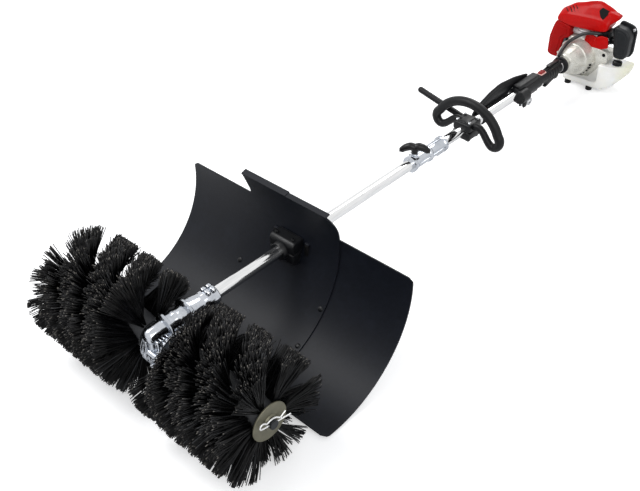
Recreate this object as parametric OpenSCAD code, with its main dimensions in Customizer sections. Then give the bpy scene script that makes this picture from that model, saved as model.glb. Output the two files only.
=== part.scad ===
// Power brush sweeper: a two-stroke engine on a split tube drives two bristle drums
// through a worm gearbox. Millimetres, Z up, standing on its drums and tank feet.
// The parts are drawn with the tube level: X along the brush, Y from the brush to
// the engine, Z up from the tube's axis. place() then tips them onto the ground.

/* [Brush] */
// Length over the two end discs
brush_len = 600; // [560:10:660]
// Radius at the bristle tips
brush_r = 138; // [130:1:144]
// Radius of the drum core
core_r = 30; // [26:1:34]
// Diameter of the axle through both drums
axle_d = 20; // [18:1:21]
// Radius of the steel end discs
disc_r = 43; // [38:1:50]

/* [Tube] */
// Outside diameter of both tubes
tube_d = 28; // [27:0.5:30]
// Wall of both tubes
tube_wall = 1.6; // [1.2:0.1:2]
// Free length of the lower tube, gearbox collar to coupler
lower_free = 659; // [600:5:720]
// Free length of the upper tube, coupler to clutch housing
upper_free = 601; // [590:1:640]
// Diameter of the drive shaft
shaft_d = 8; // [7:0.5:9]

/* [Shield] */
// Width of the splash shield
shield_w = 667; // [630:1:690]
// Outer radius of the shield's curve
shield_r = 234; // [230:1:236]
// Thickness of each panel
shield_t = 3; // [2.5:0.5:4]
// Half width of the centre panel
shield_mid = 140; // [125:1:160]

/* [Handle] */
// Radius of the loop's arch
loop_r = 105; // [98:1:115]
// Diameter of the loop's arch
loop_d = 26; // [22:1:28]
// Length of the barrier bar
bar_len = 152; // [120:2:200]
// Length of the wing knob
knob_len = 80; // [60:1:90]

/* [Engine] */
// Radius of the clutch and fan housing
bell_r = 62; // [60:1:64]
// Top of the red cover above the tube's axis
cover_top = 162; // [158:1:170]
// Depth of the fuel tank below the tube's axis
tank_drop = 88; // [84:1:94]
// Outer side of the air filter cover
filter_out = 156; // [152:1:165]

/* [Hidden] */
$fn = 48;
eps = 0.1;
tube_r = tube_d / 2;
tube_in = tube_r - tube_wall;
axle_r = axle_d / 2;
shaft_r = shaft_d / 2;
// running clearance of shafts and pins
run = 0.05;

// worm drive: module, teeth on the wheel, one start on the worm
gear_m = 2.5;
gear_teeth = 30;
wheel_r = gear_m * gear_teeth / 2;
worm_r = 5 * gear_m;
axle_drop = wheel_r + worm_r;
gear_shy = 0.5;
wheel_tip = wheel_r + gear_m - gear_shy;
wheel_root = wheel_r - gear_m - gear_shy;
worm_tip = worm_r + gear_m - gear_shy;
worm_root = worm_r - gear_m - gear_shy;
worm_half = 14;
worm_pitch = PI * gear_m;
wheel_half = 6;

// gearbox stations
case_r = wheel_tip + 7;
case_in = wheel_tip + 2.5;
case_left = -28;
case_right = 18.5;
cover_right = 28;
cavity_left = -12;
axle_brg_r = axle_r + 7;
axle_brg_w = 8;
worm_shaft_r = 6;
worm_brg_r = 13;
worm_brg_w = 9;
worm_brg_y = 24;
neck_r = 18.5;
worm_bore = worm_tip + 0.8;
nose_y = -44;
ring_y = [0, 54];
ring_r = [30, 33];
ring_w = [5, 6];
collar_r = tube_r + 6;
collar_y0 = 60;
collar_y1 = 136;
socket_y = 92;
screw_r = 2.5;
screw_head_r = 4.25;
screw_head_h = 5;
screw_len = 20;
lug_at = case_r + 2;
lug_r = 7;
lug_angles = [-155, -90, -25, 20, 160];
pinch_y = [112, 126];
pinch_z = tube_r + 9;
pinch_x = 14;

// stations along the tube
coupler_y0 = collar_y1 + lower_free;
coupler_len = 140;
coupler_y1 = coupler_y0 + coupler_len;
lower_end = coupler_y0 + 67;
upper_start = lower_end + 4;
engine_y = coupler_y1 + upper_free + 12;
knob_y = coupler_y0 + 19;
pin_y = coupler_y0 + 42;
handle_y = coupler_y1 + 110;
clamp_half = 28;
harness_y = engine_y - 223;
grip_y0 = engine_y - 143;
grip_y1 = engine_y - 18;

// brush stations
drum_in = 46;
drum_out = brush_len / 2 - 4;
disc_t = 4;
hub_x = cover_right + 1.2;
clip_x = brush_len / 2 + 6;
clip_r = 1.8;
axle_end = brush_len / 2 + 12;
sleeve_t = 4;

// stand: front feet, then the tilt that sets drums and feet on one ground plane
feet_x = [-15, 58];
feet_e = [88, 150];
feet_r = 10;
foot_y = engine_y + feet_e[0];
foot_drop = tank_drop + 12;
stand_a = foot_drop - axle_drop;
stand_h = norm([foot_y, stand_a]);
tilt = asin(brush_r / stand_h) - atan2(stand_a, foot_y);
lift = brush_r + axle_drop * cos(tilt);
// back of the starter's pull handle, the rearmost point
start_e1 = 194;
pull_x = -30;
pull_z = 24;
pull_d = 12;
pull_h = 6;
front_y = -axle_drop * sin(tilt) - brush_r;
rear_y = (engine_y + start_e1 + pull_d) * cos(tilt) + (pull_z + pull_h) * sin(tilt);
shift = -(front_y + rear_y) / 2;

module place() {
  translate([0, shift, lift]) rotate([-tilt, 0, 0]) children();
}

// Ground plane seen from the level tube, as a thick slab under the feet
module below_ground() {
  rotate([tilt, 0, 0]) translate([-500, -500, -lift - 200]) cube([1000, 4000, 200]);
}

module rod_x(r, x0, x1, y, z) {
  translate([x0, y, z]) rotate([0, 90, 0]) cylinder(r = r, h = x1 - x0);
}

module rod_y(r, y0, y1, x = 0, z = 0) {
  translate([x, y0, z]) rotate([-90, 0, 0]) cylinder(r = r, h = y1 - y0);
}

module rod_z(r, z0, z1, x, y) {
  translate([x, y, z0]) cylinder(r = r, h = z1 - z0);
}

module block(lo, hi) {
  translate(lo) cube(hi - lo);
}

// Turned shape about the tube's axis from [radius, y] points
module turn_y(pts) {
  rotate([-90, 0, 0]) rotate_extrude() polygon(pts);
}

// Plate of an outline in Y and Z, from x0 to x1
module plate_x(pts, x0, x1) {
  translate([x0, 0, 0]) rotate([90, 0, 90]) linear_extrude(x1 - x0) polygon(pts);
}

// Plate of an outline in X and Z, from y0 to y1
module plate_y(pts, y0, y1) {
  translate([0, y1, 0]) rotate([90, 0, 0]) linear_extrude(y1 - y0) polygon(pts);
}

// Socket-head screw, head under +Z, shank down
module screw_z(x, y, z) {
  rod_z(screw_head_r, z, z + screw_head_h, x, y);
  rod_z(screw_r, z - screw_len, z, x, y);
}

// Frames and rings for a round tube swept along points
function unit(v) = v / norm(v);
function dir_at(p, i) = unit(p[min(i + 1, len(p) - 1)] - p[max(i - 1, 0)]);
function side_at(p, i, ref) = unit(cross(dir_at(p, i), ref));
function ring_pts(p, r, n, ref) = [
  for (i = [0 : len(p) - 1])
    let (d = dir_at(p, i), s = side_at(p, i, ref), u = cross(d, s))
      for (k = [0 : n - 1]) p[i] + r[i] * (cos(360 * k / n) * s + sin(360 * k / n) * u)
];

module sweep(p, r, n, ref) {
  m = len(p);
  sides = [
    for (i = [0 : m - 2], k = [0 : n - 1])
      let (a = i * n + k, b = i * n + (k + 1) % n)
        each [[a, a + n, b + n], [a, b + n, b]]
  ];
  first = [for (k = [1 : n - 2]) [0, k, k + 1]];
  last = [for (k = [1 : n - 2]) [(m - 1) * n, (m - 1) * n + k + 1, (m - 1) * n + k]];
  polyhedron(ring_pts(p, r, n, ref), concat(sides, first, last));
}

// Cast gearbox: wheel case across the axle, worm case and collar along the tube
module gearbox_housing() {
  color("silver") difference() {
    union() {
      rod_x(case_r, case_left, case_right, 0, -axle_drop);
      for (x = [-26, -16, -6, 4]) rod_x(case_r + 3, x, x + 3, 0, -axle_drop);
      rod_y(neck_r, nose_y, collar_y0);
      for (i = [0, 1]) rod_y(ring_r[i], ring_y[i], ring_y[i] + ring_w[i]);
      rod_y(collar_r, collar_y0, collar_y1);
      plate_x([[20, -14], [70, -14], [60, -32], [38, -78], [20, -78]], -9, 9);
      block([-pinch_x, 104, tube_r - 4], [pinch_x, 133, pinch_z + 8]);
      for (a = lug_angles)
        rod_x(lug_r, 4, case_right, lug_at * cos(a), lug_at * sin(a) - axle_drop);
    }
    rod_x(case_in, cavity_left, case_right + eps, 0, -axle_drop);
    rod_x(axle_brg_r, cavity_left - axle_brg_w, cavity_left + eps, 0, -axle_drop);
    rod_x(axle_r + 0.5, case_left - eps, cavity_left, 0, -axle_drop);
    rod_y(worm_bore, -worm_brg_y, worm_brg_y);
    rod_y(worm_brg_r, -worm_brg_y - worm_brg_w, -worm_brg_y + eps);
    rod_y(worm_brg_r, worm_brg_y - eps, worm_brg_y + worm_brg_w);
    rod_y(worm_shaft_r + 1.5, 0, socket_y + eps);
    rod_y(tube_r, socket_y, collar_y1 + eps);
    block([-0.8, 100, tube_in], [0.8, collar_y1 + eps, pinch_z + 9]);
    for (y = pinch_y) rod_x(screw_r, pinch_x - screw_len, pinch_x + eps, y, pinch_z);
    for (a = lug_angles)
      rod_x(screw_r, cover_right - screw_len, case_right + eps,
        lug_at * cos(a), lug_at * sin(a) - axle_drop);
    block([case_right, ring_y[0] - 1, -ring_r[0] - 1], [40, ring_y[0] + ring_w[0] + 1, 0]);
  }
}

// Side cover that carries the right axle bearing
module gearbox_cover() {
  color("gainsboro") difference() {
    union() {
      rod_x(case_r, case_right, cover_right, 0, -axle_drop);
      for (a = lug_angles)
        rod_x(lug_r, case_right, cover_right, lug_at * cos(a), lug_at * sin(a) - axle_drop);
    }
    rod_x(axle_brg_r, case_right - eps, case_right + axle_brg_w, 0, -axle_drop);
    rod_x(axle_r + 0.5, case_right, cover_right + eps, 0, -axle_drop);
    for (a = lug_angles)
      rod_x(screw_r, case_right - eps, cover_right + eps,
        lug_at * cos(a), lug_at * sin(a) - axle_drop);
  }
}

// Cover screws and the two pinch screws, all alike
module gearbox_screws() {
  color("dimgray") {
    for (a = lug_angles)
      translate([cover_right, lug_at * cos(a), lug_at * sin(a) - axle_drop])
        rotate([0, 90, 0]) screw_z(0, 0, 0);
    for (y = pinch_y) translate([pinch_x, y, pinch_z]) rotate([0, 90, 0]) screw_z(0, 0, 0);
  }
}

// Two axle bearings, two worm bearings and the clutch drum's bearing
drum_brg_r = 16;
drum_brg_e = 10;
module bearings() {
  color("lightsteelblue") {
    for (x = [cavity_left - axle_brg_w, case_right]) difference() {
      rod_x(axle_brg_r, x, x + axle_brg_w, 0, -axle_drop);
      rod_x(axle_r + run, x - eps, x + axle_brg_w + eps, 0, -axle_drop);
    }
    for (y = [-worm_brg_y - worm_brg_w, worm_brg_y]) difference() {
      rod_y(worm_brg_r, y, y + worm_brg_w);
      rod_y(worm_shaft_r + run, y - eps, y + worm_brg_w + eps);
    }
    translate([0, engine_y + drum_brg_e, 0]) difference() {
      rod_y(drum_brg_r, 0, worm_brg_w);
      rod_y(worm_shaft_r + run, -eps, worm_brg_w + eps);
    }
  }
}

// Thread height around one turn: root, flank, crest, flank
function worm_rad(a) =
  let (u = abs(a - 180) / 180)
    u < 0.12 ? worm_tip
      : u < 0.42 ? worm_tip - (worm_tip - worm_root) * (u - 0.12) / 0.3 : worm_root;

// Worm shaft with a one-start thread, as rings of points along the axis
worm_sides = 18;
worm_rings = 50;
function worm_pt(i, k) =
  let (a = 360 * k / worm_sides, y = worm_half * (2 * i / worm_rings - 1),
    r = worm_rad((a + 360 * y / worm_pitch + 3510) % 360))
  [r * cos(a), y, r * sin(a)];
module worm_shaft() {
  n = worm_sides;
  m = worm_rings;
  color("slategray") {
    rod_y(worm_shaft_r, -worm_brg_y - worm_brg_w, 44);
    polyhedron(
      [for (i = [0 : m], k = [0 : n - 1]) worm_pt(i, k)],
      concat(
        [for (i = [0 : m - 1], k = [0 : n - 1]) let (a = i * n + k, b = i * n + (k + 1) % n)
          each [[a, b + n, a + n], [a, b, b + n]]],
        [for (k = [1 : n - 2]) [0, k + 1, k]],
        [for (k = [1 : n - 2]) [m * n, m * n + k, m * n + k + 1]]));
  }
}

// Worm wheel with its hub on the axle
module worm_wheel() {
  step = 360 / gear_teeth;
  tip_w = step * 0.1;
  root_w = step * 0.27;
  color("goldenrod") difference() {
    union() {
      translate([-wheel_half, 0, -axle_drop]) rotate([90, 0, 90]) linear_extrude(2 * wheel_half)
        polygon([for (i = [0 : gear_teeth - 1]) let (c = i * step)
          each [for (w = [-root_w, -tip_w, tip_w, root_w])
            (abs(w) > tip_w ? wheel_root : wheel_tip) * [cos(c + w), sin(c + w)]]]);
      rod_x(axle_r + 8, cavity_left + 0.5, case_right - 0.5, 0, -axle_drop);
    }
    rod_x(axle_r, cavity_left, case_right, 0, -axle_drop);
  }
}

// Axle with a cross hole for a clip at each end
module brush_axle() {
  color("silver") difference() {
    rod_x(axle_r, -axle_end, axle_end, 0, -axle_drop);
    for (s = [-1, 1]) translate([s * clip_x, 0, -axle_drop]) rotate([clip_turn, 0, 0])
      rod_z(clip_r, -axle_r - 1, axle_r + 1, 0, 0);
  }
}

// One core tube with its inner collar for each drum
module brush_cores() {
  color("gray") for (s = [0, 1]) mirror([s, 0, 0]) difference() {
    union() {
      rod_x(core_r, drum_in, drum_out, 0, -axle_drop);
      rod_x(axle_r + 5, hub_x, drum_in, 0, -axle_drop);
    }
    rod_x(axle_r, hub_x - 1, drum_out + 1, 0, -axle_drop);
  }
}

// Bristle rows: tufts of blades on a thin sleeve, in rows that wind round the drum.
// Every second tuft has one blade; the others have two, spread like a V.
row_count = 6;
row_tufts = 27;
row_wind = 165;
blade_w = 7;
blade_t = 3;
vee_root = 3;
vee_tip = 42;
blade_root = core_r + sleeve_t - 1.5;
blade_tip = sqrt(brush_r * brush_r - pow(vee_tip + blade_t / 2, 2));
tuft_x0 = drum_in + 6;
tuft_x1 = drum_out - 5;
lean_in = 12;
lean_out = 7;
function tuft_x(i) = tuft_x0 + (tuft_x1 - tuft_x0) * i / (row_tufts - 1);
function tuft_a(j, i, wind) = 360 * j / row_count - 90 + wind * (i / (row_tufts - 1) - 0.5);
function tuft_sides(i) = i % 2 == 0 ? [-1, 1] : [0];
function blade_pts(j, i, k, wind) =
  let (a = tuft_a(j, i, wind), out = [0, cos(a), sin(a)], side = [0, -sin(a), cos(a)],
    t = i / (row_tufts - 1), x0 = tuft_x(i), x1 = x0 + lean_in * pow(1 - t, 3) + lean_out * pow(t, 3))
  [for (end = [0, 1], c = [[-1, -1], [1, -1], [1, 1], [-1, 1]])
    [(end == 0 ? x0 : x1) + c[0] * blade_w / 2, 0, -axle_drop]
      + out * (end == 0 ? blade_root : blade_tip)
      + side * (k * (end == 0 ? vee_root : vee_tip) + c[1] * blade_t / 2)];
blade_list = [for (j = [0 : row_count - 1], i = [0 : row_tufts - 1], k = tuft_sides(i)) [j, i, k]];
blade_faces = [[0, 2, 1], [0, 3, 2], [4, 5, 6], [4, 6, 7], [0, 5, 4], [0, 1, 5],
  [1, 6, 5], [1, 2, 6], [2, 7, 6], [2, 3, 7], [3, 4, 7], [3, 0, 4]];

module bristle_drum(wind) {
  difference() {
    rod_x(core_r + sleeve_t, drum_in + 2, drum_out - 1, 0, -axle_drop);
    rod_x(core_r, drum_in, drum_out, 0, -axle_drop);
  }
  polyhedron(
    [for (b = blade_list) each blade_pts(b[0], b[1], b[2], wind)],
    [for (n = [0 : len(blade_list) - 1]) each [for (f = blade_faces) f + 8 * n * [1, 1, 1]]]);
}

module bristles_right() {
  color("#202020") bristle_drum(row_wind);
}

module bristles_left() {
  color("#262626") mirror([1, 0, 0]) bristle_drum(-row_wind);
}

// Steel discs that close the drums' outer ends
module end_discs() {
  color("darkkhaki") for (s = [0, 1]) mirror([s, 0, 0]) difference() {
    union() {
      rod_x(disc_r, drum_out, drum_out + disc_t, 0, -axle_drop);
      rod_x(axle_r + 5, drum_out, drum_out + disc_t + 3, 0, -axle_drop);
    }
    rod_x(axle_r, drum_out - 1, drum_out + disc_t + 4, 0, -axle_drop);
  }
}

// Spring clips: a straight leg through the axle, then a bow and a leg that grips over the axle
clip_turn = 75.5;
clip_leg = 27;
clip_tail = 48;
clip_grip = 14;
clip_bow = 6;
clip_curl = 8;
module r_clips() {
  color("whitesmoke") for (s = [-1, 1]) translate([s * clip_x, 0, -axle_drop])
    rotate([clip_turn, 0, 0]) {
      rod_z(clip_r, -clip_tail, clip_leg, 0, 0);
      translate([0, clip_bow, clip_leg]) rotate([90, 0, 90])
        rotate_extrude(angle = 180) translate([clip_bow, 0]) circle(clip_r);
      rod_z(clip_r, -clip_grip, clip_leg, 0, 2 * clip_bow);
      translate([0, 2 * clip_bow + clip_curl, -clip_grip]) rotate([90, 0, 90]) rotate([0, 0, 180])
        rotate_extrude(angle = 60) translate([clip_curl, 0]) circle(clip_r);
    }
}

// Attachment tube, with the lock hole near its upper end
module lower_tube() {
  color("gainsboro") difference() {
    rod_y(tube_r, socket_y, lower_end);
    rod_y(tube_in, socket_y - eps, lower_end + eps);
    rod_x(pin_r + 0.2, -tube_d, 0, pin_y, 0);
  }
}

module upper_tube() {
  color("gainsboro") difference() {
    rod_y(tube_r, upper_start, engine_y);
    rod_y(tube_in, upper_start - eps, engine_y + eps);
  }
}

// Drive shaft in two lengths that meet in a sleeve inside the coupler
module lower_drive_shaft() {
  color("slategray") rod_y(shaft_r, 44, lower_end + 2);
}

module upper_drive_shaft() {
  color("slategray") {
    rod_y(shaft_r, lower_end + 2, engine_y + 2);
    difference() {
      rod_y(shaft_r + 5, lower_end - 16, lower_end + 22);
      rod_y(shaft_r, lower_end - 17, lower_end + 23);
    }
  }
}

// Plastic bushings that steady the shaft inside the tubes
bush_len = 12;
bush_lower = 3;
bush_upper = 3;
module tube_bushings() {
  ys = concat(
    [for (i = [1 : bush_lower]) socket_y + i * (lower_end - socket_y) / (bush_lower + 1)],
    [for (i = [1 : bush_upper]) upper_start + 40 + i * (engine_y - upper_start - 40) / (bush_upper + 1)]);
  color("ivory") for (y = ys) difference() {
    rod_y(tube_in, y, y + bush_len);
    rod_y(shaft_r + run, y - eps, y + bush_len + eps);
  }
}

// Splash shield: panels of one curve about a line along X
shield_y = 143.8;
shield_z = 57;
wing_top = 4;
panel_top = 18;
shield_low = -98;
wing_lap = 20;
corner = 30;
rim = 12;
module arc_panel(r0, r1, x0, x1, a0, a1) {
  translate([0, shield_y, shield_z]) rotate([90, 0, 90]) rotate([0, 0, a0])
    rotate_extrude(angle = a1 - a0) polygon([[r0, x0], [r1, x0], [r1, x1], [r0, x1]]);
}

// Square corner less three chords of its round; x and y point into the panel
module corner_cut(h) {
  linear_extrude(h) polygon(corner * [[-0.1, -0.1], [1.3, -0.1], [1.3, -0.08], [0.5, 0.134], [0.134, 0.5],
    [-0.08, 1.3], [-0.1, 1.3]]);
}

shield_end_y = shield_y + shield_r * cos(shield_low);
module shield_wing() {
  difference() {
    arc_panel(shield_r - shield_t, shield_r, shield_mid - wing_lap, shield_w / 2, shield_low, wing_top);
    translate([shield_w / 2, shield_end_y, shield_z - shield_r - 5])
      mirror([1, 0, 0]) corner_cut(30);
    translate([shield_w / 2, shield_y + shield_r + 1, shield_z + shield_r * sin(wing_top)])
      rotate([90, 0, 0]) mirror([1, 0, 0]) mirror([0, 1, 0]) corner_cut(30);
    for (a = shield_bolt_a) shield_hole(a);
  }
}

// Panel bolts pass through both layers, square to the curve
shield_bolt_a = [-40, -64];
shield_bolt_x = shield_mid - wing_lap / 2;
module shield_hole(a) {
  translate([shield_bolt_x, shield_y, shield_z]) rotate([a, 0, 0])
    rod_y(screw_r, shield_r - 2 * shield_t - 5, shield_r + 5);
}

module shield_wing_right() {
  color("#333333") shield_wing();
}

module shield_wing_left() {
  color("#3a3a3a") mirror([1, 0, 0]) shield_wing();
}

mid_out = shield_r - shield_t;
mid_in = mid_out - shield_t;
// where the panel crosses the tube, and the two slots beside it
wall_y = shield_y + sqrt(mid_in * mid_in - shield_z * shield_z);
slot_x = [-52, 44];
slot_w = 10;
slot_z = [-18, 22];
module shield_centre() {
  color("#2c2c2c") difference() {
    union() {
      arc_panel(mid_in, mid_out, -shield_mid, shield_mid, shield_low, panel_top);
      arc_panel(mid_in + 1, mid_out + rim, 1.4 * corner - shield_mid, shield_mid - 1.4 * corner,
        panel_top - 0.8, panel_top + 0.3);
    }
    rod_y(tube_r + 0.5, wall_y - 60, wall_y + 80);
    for (s = [0, 1], a = shield_bolt_a) mirror([s, 0, 0]) shield_hole(a);
    for (s = [0, 1]) mirror([s, 0, 0])
      translate([shield_mid, shield_y + shield_r + 40, shield_z + mid_out * sin(panel_top) + 5])
        rotate([90, 0, 0]) mirror([1, 0, 0]) mirror([0, 1, 0]) corner_cut(90);
    for (x = slot_x) block([x, wall_y - 30, slot_z[0]], [x + slot_w, wall_y + 35, slot_z[1]]);
  }
}

// Clamp on the tube in front of the shield, in two halves with a slit between
clamp_len = 32;
clamp_y0 = wall_y - clamp_len;
clamp_x = 36;
clamp_up = 30;
clamp_down = -32;
clamp_slit = 0.3;
clamp_bolt_y = clamp_y0 + 15;
clamp_bolt_x = 25;
module clamp_body() {
  intersection() {
    translate([0, shield_y, shield_z]) rotate([0, 90, 0]) cylinder(r = mid_in, h = 4 * clamp_x,
        center = true);
    difference() {
      block([-clamp_x, clamp_y0, clamp_down], [clamp_x, wall_y + clamp_len, clamp_up]);
      rod_y(tube_r, clamp_y0 - 1, wall_y + clamp_len + 1);
      for (s = [-1, 1]) rod_z(screw_r, clamp_up - screw_len - 12, clamp_up + 1, s * clamp_bolt_x,
          clamp_bolt_y);
    }
  }
}

module shield_clamp() {
  color("#1c1c1c") intersection() {
    clamp_body();
    block([-clamp_x - 1, clamp_y0 - 1, clamp_slit], [clamp_x + 1, wall_y + clamp_len, clamp_up + 1]);
  }
}

module shield_clamp_cap() {
  color("#222222") intersection() {
    clamp_body();
    block([-clamp_x - 1, clamp_y0 - 1, clamp_down - 1], [clamp_x + 1, wall_y + clamp_len, -clamp_slit]);
  }
}

// Panel bolts on the curve and the two clamp bolts
module shield_bolts() {
  color("silver") {
    for (s = [0, 1], a = shield_bolt_a) mirror([s, 0, 0])
      translate([shield_bolt_x, shield_y, shield_z]) rotate([a, 0, 0]) {
        rod_y(screw_head_r + 2, mid_in - 3.1, mid_in - 0.1);
        rod_y(screw_r, mid_in - 1, shield_r + 6);
        rod_y(screw_head_r, shield_r, shield_r + 4);
      }
    for (s = [-1, 1]) {
      rod_z(screw_head_r, clamp_up, clamp_up + screw_head_h, s * clamp_bolt_x, clamp_bolt_y);
      rod_z(screw_r, clamp_up - screw_len - 12, clamp_up, s * clamp_bolt_x, clamp_bolt_y);
    }
  }
}

// Shaft coupler: cast sleeve on the upper tube that takes the lower tube
coupler_r = tube_r + 5;
pin_r = 2.5;
boss_top = tube_r + 12;
stud_r = 3;
module coupler_body() {
  color("gainsboro") difference() {
    union() {
      rod_y(coupler_r, coupler_y0, coupler_y1);
      for (y = [coupler_y0, coupler_y1 - 10, coupler_y0 + 66]) rod_y(coupler_r + 3, y, y + 10);
      rod_z(9, 0, boss_top, 0, knob_y);
      rod_x(7, -boss_top, 0, pin_y, 0);
      block([-8, coupler_y0 + 4, -coupler_r - 5], [8, coupler_y0 + 30, 0]);
      block([-8, coupler_y1 - 30, -coupler_r - 5], [8, coupler_y1 - 4, 0]);
    }
    rod_y(tube_r, coupler_y0 - eps, lower_end);
    rod_y(tube_in, lower_end - eps, upper_start + eps);
    rod_y(tube_r, upper_start, coupler_y1 + eps);
    rod_z(stud_r + run, tube_r, boss_top + eps, 0, knob_y);
    rod_x(pin_r + run, -boss_top - eps, 0, pin_y, 0);
    for (y = coupler_bolt_y)
      rod_z(screw_r, -coupler_r - 5 - eps, -tube_r - 1, 0, y);
  }
}

// Hex bolts under the coupler
coupler_bolt_y = [coupler_y0 + 17, coupler_y1 - 17];
module coupler_bolts() {
  color("dimgray") for (y = coupler_bolt_y) {
    rod_z(screw_r, -coupler_r - 5, -tube_r - 1, 0, y);
    translate([0, y, -coupler_r - 9]) cylinder(r = 5, h = 4, $fn = 6);
  }
}

// Wing knob: a bar with drooped ends on a threaded stud
knob_turn = 35;
knob_z = tube_r + 20;
module coupler_knob() {
  color("#181818") translate([0, knob_y, 0]) {
    rod_z(stud_r, tube_r + 1, knob_z, 0, 0);
    rod_z(8, boss_top + 0.5, knob_z + 10, 0, 0);
    rotate([0, 0, knob_turn]) plate_y([
        [-knob_len / 2, knob_z - 9], [-knob_len / 2 + 7, knob_z - 9], [-knob_len / 4, knob_z],
        [knob_len / 4, knob_z], [knob_len / 2 - 7, knob_z - 9], [knob_len / 2, knob_z - 9],
        [knob_len / 2 - 2, knob_z], [knob_len / 3, knob_z + 9], [10, knob_z + 13],
        [-10, knob_z + 13], [-knob_len / 3, knob_z + 9], [-knob_len / 2 + 2, knob_z]
      ], -6, 6);
  }
}

// Sprung pin that drops into the lower tube's hole
module lock_pin() {
  color("lightsteelblue") {
    rod_x(pin_r, -boss_top - 2, -tube_in - 0.2, pin_y, 0);
    rod_x(6, -boss_top - 6, -boss_top - 0.5, pin_y, 0);
  }
}

// Half width of the handle clamp, where the loop and the bar end
clamp_arm = 27;

// Loop handle: from one side of the clamp round the arch to the other side, turned a little on the tube
loop_y = handle_y - 5;
loop_drop = 28;
cross_r = 9.5;
loop_z = 13;
arch_low = 12;
arch_steps = 22;
arch_x = loop_r * cos(arch_low);
arch_z = loop_r * sin(arch_low) - loop_drop;
loop_roll = 4;
loop_shift = 6;
loop_foot = [
  [clamp_arm - 12, loop_z], [clamp_arm + 9, loop_z - 1], [arch_x - 39, arch_z - 4],
  [arch_x - 36, arch_z - 20], [arch_x - 29, arch_z - 27], [arch_x - 9, arch_z - 27],
  [arch_x - 1.5, arch_z - 20], [arch_x, arch_z - 6]
];
function arch_pt(i) = let (a = arch_low + (180 - 2 * arch_low) * i / arch_steps)
  [loop_r * cos(a), loop_y, loop_r * sin(a) - loop_drop];
loop_path = concat(
  [for (p = loop_foot) [p[0], loop_y, p[1]]],
  [for (i = [0 : arch_steps]) arch_pt(i)],
  [for (i = [len(loop_foot) - 1 : -1 : 0]) [-loop_foot[i][0], loop_y, loop_foot[i][1]]]);
function loop_rad(i) = let (n = len(loop_path) - 1, k = min(i, n - i))
  k < 4 ? cross_r : min(loop_d / 2, cross_r + (k - 3) * (loop_d / 2 - cross_r) / 4);
module loop_handle() {
  color("#1e1e22") difference() {
    translate([loop_shift, 0, 0]) rotate([0, loop_roll, 0])
      sweep(loop_path, [for (i = [0 : len(loop_path) - 1]) loop_rad(i)], 10, [0, 1, 0]);
    block([-clamp_arm, loop_y - 50, -40], [clamp_arm, loop_y + 50, 40]);
  }
}

// Handle clamp halves on the upper tube
hclamp_up = 24;
hclamp_down = -24;
hbolt_x = 19;
hbolt_y = 18;
module handle_half(z0, z1) {
  difference() {
    block([-clamp_arm, handle_y - clamp_half, z0], [clamp_arm, handle_y + clamp_half, z1]);
    rod_y(tube_r, handle_y - clamp_half - 1, handle_y + clamp_half + 1);
    for (x = [-1, 1], y = [-1, 1])
      rod_z(screw_r, hclamp_up - 2 * screw_len, hclamp_up + 1, x * hbolt_x, handle_y + y * hbolt_y);
  }
}

module handle_clamp() {
  color("#151515") handle_half(clamp_slit, hclamp_up);
}

module handle_clamp_cap() {
  color("#101010") handle_half(hclamp_down, -clamp_slit);
}

module handle_bolts() {
  color("silver") for (x = [-1, 1], y = [-1, 1]) {
    rod_z(screw_head_r, hclamp_up, hclamp_up + screw_head_h, x * hbolt_x, handle_y + y * hbolt_y);
    rod_z(screw_r, hclamp_up - 2 * screw_len, hclamp_up, x * hbolt_x, handle_y + y * hbolt_y);
  }
}

// Barrier bar to the left of the clamp, rising a little
bar_r = 8.5;
bar_rise = 13;
bar_y = handle_y + 17;
module barrier_bar() {
  color("#1a1a1a") difference() {
    translate([-clamp_arm + 4, bar_y, loop_z]) rotate([0, bar_rise, 0]) {
      rod_x(bar_r, -bar_len, 0, 0, 0);
      translate([-bar_len, 0, 0]) sphere(bar_r);
    }
    block([-clamp_arm, bar_y - 30, -40], [40, bar_y + 30, 60]);
  }
}

// Hip pad: an upright leaf beside the tube, held by a band
pad_y0 = harness_y - 240;
pad_x = -tube_r - 7;
pad_t = 5;
band_y = pad_y0 + 22;
band_w = 18;
module hip_pad() {
  color("#242424") difference() {
    union() {
      rod_y(tube_r + 4, band_y, band_y + band_w);
      translate([0, pad_y0, 0]) plate_x([[10, 2], [60, -8], [184, -8], [188, 15], [279, 16], [279, 27],
        [215, 38], [146, 44], [95, 38], [46, 27], [14, 14]], pad_x, pad_x + pad_t);
    }
    rod_y(tube_r, band_y - 1, band_y + band_w + 1);
  }
}

// Harness clamp with a round boss on its right side and two cheeks below
hclamp_r = tube_r + 7;
harness_half = 48;
harness_rear = 78;
boss_r = 20;
boss_out = 24;
boss_y = harness_y - 26;
boss_z = -12;
eye_x = 18;
eye_y = harness_y - 21;
eye_z = -tube_r - 16;
cheek_r = 8;
eye_pin_r = 3;
module harness_clamp() {
  color("#161616") difference() {
    union() {
      rod_y(hclamp_r, harness_y - harness_half, harness_y + harness_rear);
      block([-11, harness_y - harness_half, 0], [11, harness_y + harness_half, hclamp_r + 8]);
      rod_x(boss_r, 6, boss_out, boss_y, boss_z);
      for (x = [eye_x - 9, eye_x + 3]) {
        rod_x(cheek_r, x, x + 6, eye_y, eye_z);
        block([x, eye_y - cheek_r, eye_z], [x + 6, eye_y + cheek_r, boss_z]);
      }
    }
    rod_y(tube_r, harness_y - harness_half - 1, harness_y + harness_rear + 1);
    rod_x(eye_pin_r + run, eye_x - 14, eye_x + 14, eye_y, eye_z);
    block([eye_x - 2.99, eye_y - 16, eye_z - 20], [eye_x + 2.99, eye_y + 16.5, eye_z + 13]);
  }
}

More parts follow.
